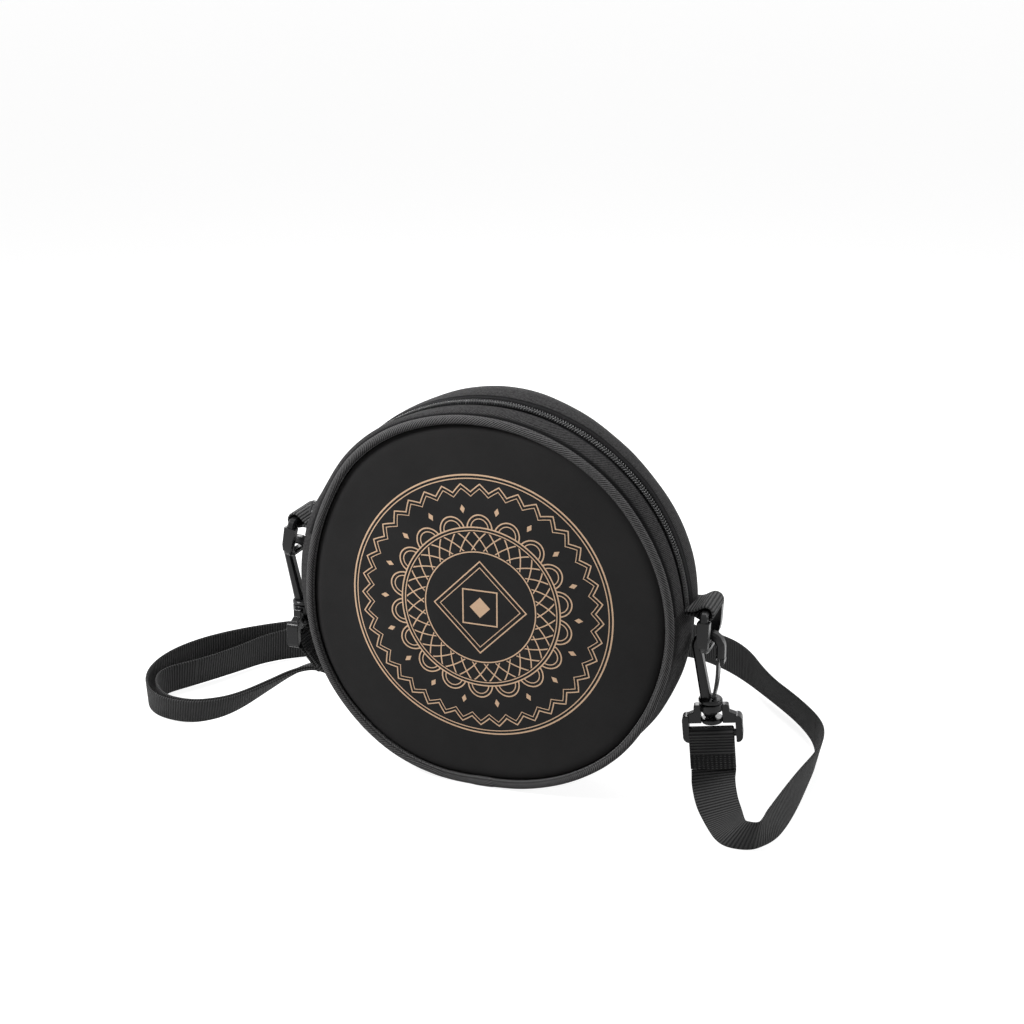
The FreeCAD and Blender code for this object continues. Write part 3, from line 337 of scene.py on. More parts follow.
# How much further out than a true circle the soft front edge stands, in millimetres, at each 15 degrees.
FULLNESS = (1.1, 0.2, -0.8, -1.0, -1.1, -0.9, -0.2, 0.9, 1.9, 1.5, -1.2, -2.3,
            -1.9, 0.6, 2.7, 3.7, 4.3, 3.0, 0.9, 1.8, 3.0, 3.6, 2.5, 1.7)
FULLNESS_STEP = 360 / len(FULLNESS)


def fullness(angle, side):
    """The front edge's fullness at an angle in degrees, on a smooth line; the back edge has half of it."""
    place = angle % 360 / FULLNESS_STEP
    start = int(place)
    past = place - start
    before, low, high, after = (FULLNESS[(start + step) % len(FULLNESS)] for step in (-1, 0, 1, 2))
    second = 2 * before - 5 * low + 4 * high - after
    third = 3 * (low - high) + after - before
    full = low + 0.5 * past * (high - before + past * (second + past * third))
    return full if side < 0 else full / 2


def round_pad(name, side):
    """A crowned disc whose rim rolls into the seam, with the slight hollows of cloth pulled over foam."""
    spokes = 120
    steps = [0.04 * k for k in range(1, 23)] + [0.905, 0.93, 0.95, 0.965, 0.978, 0.99, 1.0]
    vertices = [CENTRE + Vector((0, side * (SEAM_DEPTH + FACE_CROWN) * MM, 0))]
    for step in steps:
        for spoke in range(spokes):
            angle = 2 * math.pi * spoke / spokes
            reach = (FACE_REACH + fullness(math.degrees(angle), side)) * MM
            flat = Vector((math.cos(angle), 0, math.sin(angle))) * reach * step
            hollow = noise.noise(Vector((flat.x * 26, side * 4, flat.z * 26))) * 0.36
            pucker = noise.noise(Vector((math.cos(angle) * 9, side * 7, math.sin(angle) * 9))) * 0.21
            pull = max(0, (step - 0.7) / 0.3) ** 2
            roll = 1.9 * max(0, (step - 0.95) / 0.05) ** 2
            proud = SEAM_DEPTH + FACE_CROWN * (1 - step ** 2.4) + hollow * (1 - pull) + pucker * pull - roll
            vertices.append(CENTRE + flat + Vector((0, side * proud * MM, 0)))
    vertices += [Vector((v.x, side * FACE_BACK * MM, v.z)) for v in vertices[-spokes:]]
    vertices.append(CENTRE + Vector((0, side * FACE_BACK * MM, 0)))
    count = len(steps) + 1
    faces = []
    for spoke in range(spokes):
        after = (spoke + 1) % spokes
        faces.append((0, 1 + spoke, 1 + after))
        for ring in range(count - 1):
            low, high = 1 + ring * spokes, 1 + (ring + 1) * spokes
            faces.append((low + spoke, high + spoke, high + after, low + after))
        last = 1 + (count - 1) * spokes
        faces.append((last + spoke, len(vertices) - 1, last + after))
    return new_piece(name, vertices, faces)


front_face = dress(round_pad("front_face", -1), face_finish("printed_cloth", True), "bag", "panel_cloth",
                   "front_panel", "front_foam")
back_face = dress(round_pad("back_face", 1), face_finish("plain_cloth", False), "bag", "back_cloth",
                  "back_panel", "back_foam")


# The piping: a strip of grey herringbone tape folded round a cord and sewn between face and gusset, its ends
# lapped at the bottom of the bag. A row of fine stitches shows along its inner edge.
PIPING_REACH, PIPING_THICK = 106.1, 2.5
TABLE_GAP = 0.05
STITCH_PITCH = 2.6 * MM
# Places round the tube, counted from its outermost line: the ribs' turn, the stitches and the two seams, in
# whose valleys shade is painted.
RIB_TURN, STITCHES, FACE_SEAM, WALL_SEAM = 6.5 * MM, 7.0 * MM, 5.9 * MM, 14.6 * MM

herringbone, given, result = new_pattern("herringbone", {"Along": "Float", "Across": "Float"}, ["Height"])
slant = given["Along"] + given["Across"].math("ABSOLUTE") * 1.1
plug(herringbone, result["Height"], slant.wave(1.6 * MM) * 0.85 + given["Across"].wave(0.6 * MM) * 0.15)

piping_tape, tree, shader = new_finish("herringbone_tape", 0.8, Specular_IOR_Level=0.15)
along, around, _ = split(tree, place_of(tree, "UV"))
ribs = use_pattern(tree, "herringbone", Along=along, Across=around - RIB_TURN)["Height"]
speckle = use_pattern(tree, "mottle", Place=place_of(tree), Scale=900.0)["Shade"] * 2.4 - 0.7
dashes = (along * (1 / STITCH_PITCH)).math("FRACT").math("LESS_THAN", 0.7)
dotted = around.near(STITCHES, 0.3 * MM) * dashes
# Painted shade: the tape's colour goes nearly black in the valley at the wall seam, and half as dark in a
# thin line at the face seam.
painted_seam_shade = around.near(WALL_SEAM, 1.1 * MM) * -0.95 + around.near(FACE_SEAM, 0.35 * MM) * -0.5 + 1
lit = (ribs * ribs * 0.8 + speckle * 0.3) * painted_seam_shade
grey = between(tree, lit, (0.003, 0.003, 0.0035, 1), (0.17, 0.167, 0.168, 1))
plug(tree, shader.inputs["Base Color"], between(tree, dotted * 0.6, grey, (0.22, 0.22, 0.222, 1)))
raised(tree, shader, ribs + dotted, 0.3 * MM)


def sweep(name, sections, closed=False):
    """A skin over equal closed sections, with its UV in metres: along the sections and around each."""
    count, turns = len(sections[0]), len(sections)
    vertices = [point for section in sections for point in section]
    faces = []
    for turn in range(turns if closed else turns - 1):
        first, second = turn * count, (turn + 1) % turns * count
        for k in range(count):
            after = (k + 1) % count
            faces.append((first + k, first + after, second + after, second + k))
    if not closed:
        faces.append(tuple(range(count)))
        faces.append(tuple(range((turns - 1) * count, turns * count)))
    middles = [sum(section, Vector()) / count for section in sections]
    run = [0.0]
    for before, after in zip(middles, middles[1:] + middles[:1]):
        run.append(run[-1] + (after - before).length)
    girth = [0.0]
    for k in range(count):
        girth.append(girth[-1] + (sections[0][(k + 1) % count] - sections[0][k]).length)
    piece = new_piece(name, vertices, faces)
    layer = piece.data.uv_layers.new(name="cloth").data
    for face in piece.data.polygons:
        corners = [divmod(piece.data.loops[k].vertex_index, count) for k in face.loop_indices]
        wraps_turn = closed and {0, turns - 1} <= {turn for turn, _ in corners}
        wraps_girth = {0, count - 1} <= {k for _, k in corners} and len(corners) == 4
        for loop, (turn, k) in zip(face.loop_indices, corners):
            far = run[turns] if wraps_turn and turn == 0 else run[turn]
            layer[loop].uv = (far, girth[count] if wraps_girth and k == 0 else girth[k])
    piece.data.set_sharp_from_angle(angle=math.radians(50))
    return piece


def disc_point(radius, angle, depth):
    """A point of the round bag: radius and depth in millimetres, angle in degrees from the right."""
    turned = math.radians(angle)
    return CENTRE + Vector((radius * math.cos(turned), depth, radius * math.sin(turned))) * MM


def held(value):
    """A value kept from 0 to 1."""
    return min(1, max(0, value))


def piping(name, side):
    """A soft tube; the last few degrees lap over the first on a slanting cut."""
    sections = []
    start, lap, steps, sides = 268.0, 5.0, 260, 14
    for step in range(steps + 1):
        angle = start + (360 + lap) * step / steps
        over = held((angle - start - 358.5) / 1.5)
        thick = PIPING_THICK + 0.28 * over + 0.06 * noise.noise(Vector((angle * 0.35, side * 5, 0)))
        section = []
        for k in range(sides):
            turn = 2 * math.pi * k / sides
            slope = 1.4 * math.sin(turn) * (step == steps)
            point = disc_point(PIPING_REACH + fullness(angle, side) + thick * math.cos(turn), angle + slope,
                               side * (SEAM_DEPTH + thick * math.sin(turn) * 0.98))
            point.z = max(point.z, TABLE_GAP * MM)
            section.append(point)
        sections.append(section)
    return dress(sweep(name, sections), piping_tape, "bag", "piping", name.replace("_edge", "_piping"))


piping("front_edge", -1)
piping("back_edge", 1)


# The side wall: one long strip of grey twill, sewn between the two piped seams, plain round the bottom and
# flat where the bag stands. It bows out a little between the seams, and its lining follows it inside.
WALL_EDGE, WALL_INSIDE = 22.4, -1.9
WALL_BOW_CENTRE, WALL_BOW_RADIUS = 73.75, 39.75
ZIP_RIGHT, ZIP_LEFT = 3.75, 164.75
LINING_REACH, LINING_DEPTHS = 102.6, (21.25, 20.85)

twill, given, result = new_pattern("twill", {"Along": "Float", "Across": "Float"}, ["Height"])
diagonal = (given["Along"] + given["Across"]).wave(1.5 * MM)
plug(twill, result["Height"], diagonal * 0.75 + (given["Along"] - given["Across"]).wave(0.45 * MM) * 0.25)


def twill_finish(name, deep, high, relief):
    """Speckled twill, with shade painted along the first edge of its section, which is a seam or a fold."""
    finish, tree, shader = new_finish(name, 0.82, Specular_IOR_Level=0.12)
    along, across, _ = split(tree, place_of(tree, "UV"))
    ribs = use_pattern(tree, "twill", Along=along, Across=across)["Height"]
    speckle = use_pattern(tree, "mottle", Place=place_of(tree), Scale=800.0)["Shade"] * 2.4 - 0.7
    # Painted shade: the colour is pulled toward the deep colour within about 5 mm of the section's first
    # edge, most in the first 3.8 mm.
    clear_of_seam_shade = (across * (1 / (1.2 * MM)) - 3.1).math("MAXIMUM", 0.06).math("MINIMUM", 1.0)
    lit = (ribs * ribs * 0.6 + speckle * 0.4) * clear_of_seam_shade
    plug(tree, shader.inputs["Base Color"], between(tree, lit, deep, high))
    raised(tree, shader, ribs, relief)
    return finish


side_twill = twill_finish("side_twill", (0.003, 0.003, 0.0035, 1), (0.09, 0.088, 0.089, 1), 0.25 * MM)
lining_cloth = twill_finish("lining_cloth", (0.02, 0.02, 0.022, 1), (0.05, 0.05, 0.053, 1), 0.06 * MM)


def lobe(value, middle, width):
    """1 at the middle, falling smoothly away to both sides."""
    return math.exp(-((value - middle) / width) ** 2)


def wall_radius(depth, angle):
    """The wall bows between its seams, is fuller behind the zip and bulges at the left front."""
    full = 0
    if angle < 180:
        bow = 5.0 * lobe(angle, 85, 30) + 2.6 * lobe(angle, 20, 26)
        full = bow * held((depth + 2) / 12) * held((WALL_EDGE - depth) / 8)
    full += 6.0 * lobe(angle, 176, 24) * lobe(depth, -16.5, 4.5)
    full += 2.2 * lobe(angle, 132, 20) * lobe(depth, -17, 4)
    seam = fullness(angle, depth) * held((abs(depth) - 10) / 12)
    return WALL_BOW_CENTRE + math.sqrt(WALL_BOW_RADIUS ** 2 - min(abs(depth), 23) ** 2) + full + seam


def wall_strip(name, profile, first, last, steps, ripple=0.0):
    """A strip round the bag from a profile of (depth, height over the wall), flat on the table."""
    sections = []
    for step in range(steps + 1):
        angle = first + (last - first) * step / steps
        section = []
        for depth, height in profile:
            wave = noise.noise(Vector((angle * 0.09, depth * 0.08, 3))) * ripple * (1 - (depth / 24) ** 2)
            point = disc_point(wall_radius(depth, angle) + height + wave, angle, depth)
            point.z = max(point.z, (TABLE_GAP - min(0, height)) * MM)
            section.append(point)
        sections.append(section)
    return sweep(name, sections)


def turned_in(depth):
    """How far the wall's outside dips where it goes into a seam."""
    return min(0.3, (abs(depth) - WALL_EDGE) * -0.7 - 1.2) if abs(depth) > 17 else 0


WALL_DEPTHS = [-WALL_EDGE, -21, -18, -14, -9, -4, 0, 4, 9, 14, 18, 21, WALL_EDGE]
shell = ([(depth, turned_in(depth)) for depth in WALL_DEPTHS]
         + [(depth, WALL_INSIDE) for depth in reversed(WALL_DEPTHS)])
side_wall = wall_strip("side_wall", shell, ZIP_LEFT, ZIP_RIGHT + 360, 150, 0.5)
dress(side_wall, side_twill, "bag", "gusset_cloth", "lower_gusset")
inner = ([(depth, WALL_INSIDE - 0.1) for depth in WALL_DEPTHS[1:-1]]
         + [(depth, WALL_INSIDE - 0.5) for depth in reversed(WALL_DEPTHS[1:-1])])
wall_lining = wall_strip("wall_lining", inner, ZIP_LEFT + 0.25, ZIP_RIGHT + 359.75, 90)
dress(wall_lining, lining_cloth, "bag", "lining", "lower_gusset_lining")


def lining_disc(name, side, solid):
    """A thin slack disc behind the foam."""
    spokes, rings = 72, 12
    vertices = []
    for depth in LINING_DEPTHS:
        vertices.append(CENTRE + Vector((0, side * depth * MM, 0)))
        for ring in range(1, rings + 1):
            loose = 0.5 * (1 - (ring / rings) ** 3)
            for spoke in range(spokes):
                point = disc_point(LINING_REACH * ring / rings, 360 * spoke / spokes, side * depth)
                slack = noise.noise(Vector((point.x * 30, side * 9, point.z * 30))) * loose
                vertices.append(point - Vector((0, side * abs(slack) * MM, 0)))
    faces = []
    half = 1 + spokes * rings
    for spoke in range(spokes):
        after = (spoke + 1) % spokes
        for base in (0, half):
            faces.append((base, base + 1 + spoke, base + 1 + after))
            for ring in range(rings - 1):
                low, high = base + 1 + ring * spokes, base + 1 + (ring + 1) * spokes
                faces.append((low + spoke, high + spoke, high + after, low + after))
        edge = 1 + (rings - 1) * spokes
        faces.append((edge + spoke, edge + half + spoke, edge + half + after, edge + after))
    return dress(new_piece(name, vertices, faces), lining_cloth, "bag", "lining", solid)


for side_name, side in (("front", -1), ("back", 1)):
    disc = lining_disc(side_name + "_lining_cloth", side, side_name + "_lining")


# The zip panel over the top: a narrow strip before the zip and a wide one behind it, each turned under along
# the zip and top-stitched to the zip's tape.
FRONT_STRIP = [(-WALL_EDGE, -1.4), (-21.4, -1.1), (-20.3, -0.1), (-19.2, 0.5), (-17.6, 0.5), (-15.8, 0.1),
               (-13.8, 0.05), (-12.6, -0.05), (-12, -0.5), (-12.3, -1.05), (-13.5, -1.3), (-18, -1.5),
               (-WALL_EDGE, WALL_INSIDE)]
BACK_STRIP = [(-4.6, -0.5), (-4.1, -0.08), (-2.8, 0.04), (-1.9, 0.02), (-1.4, -0.2), (-0.9, 0.02), (2, 0.06),
              (7, 0), (12, 0), (17, 0), (20.5, -0.2), (WALL_EDGE, -1.2), (WALL_EDGE, -1.8), (14, -1.4),
              (5, -1.4), (-2.8, -1.3), (-4.3, -1.05)]
TAPE_FRONT = [(-18.9, -2.3), (-14, -2.25), (-8.8, -2.25), (-8.8, -2.9), (-14, -2.95), (-18.9, -2.9)]
TAPE_BACK = [(-7.2, -2.25), (-2, -2.25), (2.9, -2.3), (2.9, -2.9), (-2, -2.95), (-7.2, -2.9)]
tape_cloth = twill_finish("zip_tape_cloth", (0.012, 0.012, 0.013, 1), (0.032, 0.032, 0.034, 1), 0.05 * MM)

for side_name, profile, ripple in (("front", FRONT_STRIP, 0.35), ("back", BACK_STRIP, 0.4)):
    strip = wall_strip(side_name + "_strip", profile, ZIP_RIGHT, ZIP_LEFT, 150, ripple)
    dress(strip, side_twill, "bag", "gusset_cloth", "zip_strip_" + side_name)
for side_name, profile in (("front", TAPE_FRONT), ("back", TAPE_BACK)):
    tape = wall_strip(side_name + "_tape", profile, ZIP_RIGHT + 0.25, ZIP_LEFT - 0.25, 100)
    dress(tape, tape_cloth, "bag", "zip_tape", "zip_tape_" + side_name)


# The zip's coils: two rows of black nylon wire wound into flat spirals, sewn along the tapes, whose turns
# lock together under the slider.
COIL_REACH, COIL_FIRST, COIL_SPAN = 112.3, 4.5, 159.5
COIL_PITCH = 1.5 / 111.2
COIL_RISE, COIL_HALF, COIL_WIRE = 0.7, 0.65, 0.35
LOOP_POINTS = 7

coil_nylon, tree, shader = new_finish("coil_nylon", 0.25, Specular_IOR_Level=0.5)
worn = use_pattern(tree, "mottle", Place=place_of(tree), Scale=300.0)["Shade"]
plug(tree, shader.inputs["Base Color"], between(tree, worn, (0.02, 0.02, 0.021, 1), (0.12, 0.12, 0.122, 1)))
plug(tree, shader.inputs["Roughness"], worn * 0.2 + 0.15)


def drawn(name, points, resolution, thick=0.0):
    """A smooth line through space: the points of a spline, or with a thickness the mesh of a wire on it."""
    line = bpy.data.curves.new(name, "CURVE")
    line.dimensions = "3D"
    line.resolution_u = resolution
    spline = line.splines.new("NURBS")
    spline.points.add(len(points) - 1)
    for target, point in zip(spline.points, points):
        target.co = (*point, 1)
    spline.order_u = 3
    spline.use_endpoint_u = True
    line.bevel_depth = thick
    line.bevel_resolution = 1
    line.use_fill_caps = thick > 0
    holder = bpy.data.objects.new(name, line)
    scene.collection.objects.link(holder)
    bpy.context.view_layer.update()
    mesh = bpy.data.meshes.new_from_object(holder.evaluated_get(bpy.context.evaluated_depsgraph_get()))
    bpy.data.objects.remove(holder)
    if thick:
        mesh.shade_smooth()
        piece = bpy.data.objects.new(name, mesh)
        scene.collection.objects.link(piece)
        return piece
    return [vertex.co.copy() for vertex in mesh.vertices]


def coil_row(name, middle, hand):
    """One row of the coil, its turns wound to the left or the right hand."""
    turns = int(math.radians(COIL_SPAN) / COIL_PITCH)
    points = []
    for step in range(turns * LOOP_POINTS):
        phase = 2 * math.pi * step / LOOP_POINTS
        angle = math.degrees(COIL_PITCH * step / LOOP_POINTS) + COIL_FIRST
        points.append(disc_point(COIL_REACH + COIL_RISE * math.sin(phase), angle,
                                 middle + hand * COIL_HALF * math.cos(phase)))
    row = drawn(name, points, 2, COIL_WIRE * MM)
    return dress(row, coil_nylon, "bag", "zip_coil", name.replace("_row", ""))


coil_row("zip_coil_front_row", -9.5, 1)
coil_row("zip_coil_back_row", -6.6, -1)


# The moulded and cast hardware: slider and pull in black lacquered metal, the rings, swivel hooks, gates,
# strap bases and strap slider in glossy black plastic with softened edges.
lacquer, tree, shader = new_finish("black_lacquer", 0.25, Metallic=0.6, Coat_Weight=0.4)
rubbed = use_pattern(tree, "mottle", Place=place_of(tree), Scale=220.0)["Shade"]
lacquer_black = between(tree, rubbed, (0.012, 0.012, 0.013, 1), (0.05, 0.05, 0.052, 1))
plug(tree, shader.inputs["Base Color"], lacquer_black)
plug(tree, shader.inputs["Roughness"], rubbed * 0.25 + 0.15)

black_plastic, tree, shader = new_finish("black_plastic", 0.3, Specular_IOR_Level=0.25)
grain = use_pattern(tree, "mottle", Place=place_of(tree), Scale=500.0)["Shade"]
scuff = use_pattern(tree, "mottle", Place=place_of(tree), Scale=60.0)["Shade"]
plastic_black = between(tree, scuff, (0.004, 0.004, 0.0045, 1), (0.012, 0.012, 0.013, 1))
plug(tree, shader.inputs["Base Color"], plastic_black)
plug(tree, shader.inputs["Roughness"], scuff * 0.2 + grain * 0.1 + 0.12)
raised(tree, shader, grain, 0.02 * MM)


def softened(piece, width, angle=30):
    """Rounds a hard piece's edges over."""
    rounding = piece.modifiers.new("rounded_edges", "BEVEL")
    rounding.width = width
    rounding.segments = 3
    rounding.limit_method = "ANGLE"
    rounding.angle_limit = math.radians(angle)
    rounding.harden_normals = True
    return piece


def moulded(name, body, finish, slot, edge):
    """The solid of a hard piece with its edges rounded over, as a mould leaves them."""
    mesh = frame["nodes"][name].data.copy()
    shaped = bmesh.new()
    shaped.from_mesh(mesh)
    bmesh.ops.remove_doubles(shaped, verts=shaped.verts, dist=0.005 * MM)
    bmesh.ops.dissolve_limit(shaped, angle_limit=math.radians(1.5), verts=shaped.verts, edges=shaped.edges)
    bmesh.ops.recalc_face_normals(shaped, faces=shaped.faces)
    shaped.to_mesh(mesh)
    shaped.free()
    if "custom_normal" in mesh.attributes:
        mesh.attributes.remove(mesh.attributes["custom_normal"])
    mesh.shade_smooth()
    mesh.set_sharp_from_angle(angle=math.radians(40))
    piece = bpy.data.objects.new(name + "_moulding", mesh)
    scene.collection.objects.link(piece)
    return dress(softened(piece, edge, 40), finish, body, slot, name)


moulded("zip_slider", "slider", lacquer, "zip_metal", 0.25 * MM)
pull = moulded("zip_pull", "pull", lacquer, "zip_metal", 0.2 * MM)

# The pull is bent to the wall's round, and its end drops toward the wall.
PULL_DROP, PULL_SLOPE = 2.4 * MM, 0.3
joint_at = {joint["name"]: Vector(joint.get("pos_m", (0, 0, 0))) for joint in frame["joints"]}
pin = joint_at["pull_flap"] - CENTRE
pin_angle, pin_reach = math.atan2(pin.z, pin.x), math.hypot(pin.x, pin.z)
for vertex in pull.data.vertices:
    away = vertex.co - joint_at["pull_flap"]
    out = away.x * math.cos(pin_angle) + away.z * math.sin(pin_angle)
    along = away.x * math.sin(pin_angle) - away.z * math.cos(pin_angle)
    turned = pin_angle - along / pin_reach
    reach = pin_reach + out - min(PULL_DROP, max(0, along * PULL_SLOPE))
    vertex.co.x = CENTRE.x + reach * math.cos(turned)
    vertex.co.z = CENTRE.z + reach * math.sin(turned)


def joined(name, pieces, place, edge):
    """One moulding of several forms, each made in the moulding's own millimetres and set in its place."""
    shaped = bmesh.new()
    for piece in pieces:
        piece.data.transform(place @ Matrix.Scale(MM, 4))
        shaped.from_mesh(piece.data)
        bpy.data.objects.remove(piece)
    mesh = bpy.data.meshes.new(name)
    shaped.to_mesh(mesh)
    shaped.free()
    mesh.shade_smooth()
    mesh.set_sharp_from_angle(angle=math.radians(35))
    whole = bpy.data.objects.new(name, mesh)
    scene.collection.objects.link(whole)
    return softened(whole, edge)


def bar_form(line, widths, depth, chamfer, closed=False):
    """A flat bar bent in one plane along (across, up) points, its section bevelled at the corners."""
    sections = []
    count = len(line)
    for k, (here, wide) in enumerate(zip(line, widths)):
        last = line[k - 1] if closed or k else here
        following = line[(k + 1) % count] if closed or k < count - 1 else here
        ahead = (Vector(following) - Vector(last)).normalized()
        left = Vector((-ahead.y, ahead.x))
        half, deep = wide / 2, depth / 2
        corners = [(-half, -deep + chamfer), (-half, deep - chamfer), (-half + chamfer, deep),
                   (half - chamfer, deep), (half, deep - chamfer), (half, -deep + chamfer),
                   (half - chamfer, -deep), (-half + chamfer, -deep)]
        sections.append([Vector((here[0] + left.x * aside, far, here[1] + left.y * aside))
                         for aside, far in corners])
    return sweep("bar_form", sections, closed)


def arc(centre, radius, first, last, steps):
    """Points along an arc from one angle in degrees to another."""
    angles = [math.radians(first + (last - first) * k / steps) for k in range(steps + 1)]
    return [(centre[0] + radius * math.cos(angle), centre[1] + radius * math.sin(angle)) for angle in angles]


def turned_form(profile, sides=32):
    """A round form about the upright axis from (radius, height) points."""
    angles = [2 * math.pi * k / sides for k in range(sides)]
    sections = [[Vector((radius * math.cos(angle), radius * math.sin(angle), height)) for angle in angles]
                for radius, height in profile]
    return sweep("turned_form", sections)


def slab_form(outline, near, far):
    """A flat form cut to an outline of (across, up) points, between two depths."""
    sections = [[Vector((across, depth, up)) for across, up in outline] for depth in (near, far)]
    return sweep("slab_form", sections)


RING_LINE = (arc((13.2, -2), 2, 90, 0, 3) + arc((7.4, -14.2), 7.8, 0, -90, 8)
             + arc((-7.4, -14.2), 7.8, -90, -180, 8) + arc((-13.2, -2), 2, 180, 90, 3))
# An arm of the ring at three heights: height, inner reach, outer reach and half of its depth.
ARM_LEVELS = ((-3.6, 12.8, 17.6, 3.4), (-14.5, 13.0, 17.5, 3.0), (-18.5, 11.6, 16.4, 2.5))


def ring(side, lean):
    """A D-ring across the tab: a bar at the top, arms that thin toward the round bottom."""
    forms = [bar_form(RING_LINE, [3.6] * len(RING_LINE), 4.4, 0.9, True)]
    for hand in (-1, 1):
        sections = []
        for up, low, high, half in ARM_LEVELS:
            corners = ((low, -half), (high, -half), (high, half), (low, half))
            sections.append([Vector((hand * across, depth, up)) for across, depth in corners])
        forms.append(sweep("arm", sections))
    spun = Matrix.Rotation(math.radians(lean), 4, "Y") @ Matrix.Rotation(math.radians(90), 4, "Z")
    place = Matrix.Translation(joint_at[side + "_swing"]) @ spun
    piece = joined(side + "_ring_moulding", forms, place, 0.45 * MM)
    return dress(piece, black_plastic, side + "_ring", "black_plastic", side + "_d_ring")


ARCH_MIDDLE, ARCH_RADIUS, SPINE_LEAN = (-2, 30.5), 6.7, math.radians(12)
SPINE_TOP = (ARCH_MIDDLE[0] - ARCH_RADIUS * math.cos(SPINE_LEAN),
             ARCH_MIDDLE[1] - ARCH_RADIUS * math.sin(SPINE_LEAN))
HOOK_LINE = [(-2.4, -0.4), (-5.2, 13), SPINE_TOP] + arc(ARCH_MIDDLE, ARCH_RADIUS, 180, 0, 12) + [(4.7, 24.5)]
NOSE_LINE = [(5.9, 24.6), (5.9, 22.4), (5.7, 20.5)]
POST = [(2.4, -7.8), (2.4, -2.6), (6.0, -2.6), (6.65, -2.1), (6.65, -0.7), (6.0, 0), (2.4, 0)]
POST_HEAD = [(1.0, -11.3), (2.8, -11.3), (4.7, -8.2), (4.7, -7.4), (1.0, -7.4)]


def hook(side):
    """A snap hook: leaning spine, round arch and thin nose, on a flanged post with a head in the base."""
    forms = [bar_form(HOOK_LINE, [5.6, 5.2] + [4.8] * (len(HOOK_LINE) - 2), 6.4, 1.2),
             bar_form(NOSE_LINE, [2.6, 2.4, 1.6], 6.2, 0.4), turned_form(POST), turned_form(POST_HEAD)]
    piece = joined(side + "_hook_moulding", forms, Matrix.Translation(joint_at[side + "_swivel"]), 0.35 * MM)
    return dress(piece, black_plastic, side + "_hook", "black_plastic", side + "_hook")


LUG = (arc((13.9, -12.4), 2.6, 100, 0, 6) + arc((12.9, -22.3), 3.6, 0, -75, 6)
       + [(12.75, -25.6), (12.75, -10)])
SHOULDER = ([(5.8, -3.6)] + arc((8.4, -4.8), 1.2, 90, 0, 4)
            + [(9.8, -8.0), (13.6, -9.6), (13.6, -14.6), (5.8, -14.6)])
COLLAR = [(3.3, -7.3), (6.2, -7.3), (6.6, -6.8), (6.6, -3.4), (6.2, -2.9), (3.3, -2.9)]
LOWER_DISC = [(1.0, -14.4), (5.6, -14.4), (6.0, -13.9), (6.0, -12.1), (5.6, -11.6), (1.0, -11.6)]
BAR_DROP, BAR_RADIUS, BAR_HALF = 21.2, 2.1, 13.6


def base(side, spin, tilt):
    """A swivel base: collar, lower disc, two shoulders beside them and a lug at each end of the bar."""
    mirrored = [[(-across, up) for across, up in reversed(outline)] for outline in (LUG, SHOULDER)]
    forms = [slab_form(outline, -3.6, 3.6) for outline in (LUG, mirrored[0])]
    forms += [slab_form(outline, -2.3, 2.3) for outline in (SHOULDER, mirrored[1])]
    forms += [turned_form(COLLAR), turned_form(LOWER_DISC)]
    rod = turned_form([(BAR_RADIUS, -BAR_HALF), (BAR_RADIUS, BAR_HALF)], 20)
    rod.data.transform(Matrix.Translation((0, 0, -BAR_DROP)) @ Matrix.Rotation(math.radians(90), 4, "Y"))
    turned = (Matrix.Translation(joint_at[side + "_swivel"]) @ Matrix.Rotation(math.radians(spin), 4, "Z")
              @ Matrix.Rotation(math.radians(tilt), 4, "Y"))
    piece = joined(side + "_base_moulding", forms + [rod], turned, 1.0 * MM)
    return dress(piece, black_plastic, side + "_base", "black_plastic", side + "_hook_base")


hardware = {}
for side, lean, spin, tilt in (("right", 0, 10, -6), ("left", 12, 90, 0)):
    hardware[side] = [ring(side, lean), base(side, spin, tilt), hook(side),
                      moulded(side + "_gate", side + "_gate", black_plastic, "black_plastic", 0.25 * MM)]
glide = moulded("triglide", "glide", black_plastic, "black_plastic", 0.4 * MM)


# The webbing: 25 mm black ribbed strap. A folded piece of it holds each ring to the end of the zip, and the
# long strap is sewn round the bar of each hook's base.
WEB_HALF, WEB_THICK = 12.5, 1.5
RIB_PITCH = 1.75 * MM
SEWN_END = 8 * MM

webbing, given, result = new_pattern("webbing_ribs", {"Along": "Float", "Across": "Float"}, ["Height"])
rib = (given["Along"] * (math.pi / RIB_PITCH)).math("SINE").math("ABSOLUTE")
plug(webbing, result["Height"], rib * 0.8 + (given["Across"] + given["Along"] * 0.4).wave(0.6 * MM) * 0.2)


def web_finish(name, sewn_length=None):
    """Black webbing; a sewn loop is flattened and speckled with stitches at both of its ends."""
    finish, tree, shader = new_finish(name, 0.75, Specular_IOR_Level=0.12)
    along, across, _ = split(tree, place_of(tree, "UV"))
    ribs = use_pattern(tree, "webbing_ribs", Along=along, Across=across)["Height"]
    fading = use_pattern(tree, "mottle", Place=place_of(tree), Scale=40.0)["Shade"]
    if sewn_length:
        inside = (along - sewn_length / 2).math("ABSOLUTE")
        sewn = inside.math("GREATER_THAN", sewn_length / 2 - SEWN_END)
        thread = along.wave(1.1 * MM) * across.wave(2.4 * MM)
        ribs = ribs * (sewn * -0.75 + 1) + thread * sewn * 0.8
    pale = 0.13 if sewn_length else 0.075
    lit = ribs * ribs * 0.9 + fading * 0.15
    shade = between(tree, lit, (0.0025, 0.0025, 0.003, 1), (pale, pale, pale, 1))
    plug(tree, shader.inputs["Base Color"], shade)
    raised(tree, shader, ribs, 0.5 * MM)
    return finish


web_black = web_finish("black_webbing")


def web_section(centre, side, face):
    """A strap's cross-section: flat, with thin rounded edges."""
    half = WEB_THICK / 2
    upper = [(-WEB_HALF, 0), (-12.1, half * 0.8), (-11.4, half), (0, half), (11.4, half), (12.1, half * 0.8)]
    corners = upper + [(-across, -out) for across, out in upper]
    return [centre + side * (across * MM) + face * (out * MM) for across, out in corners]


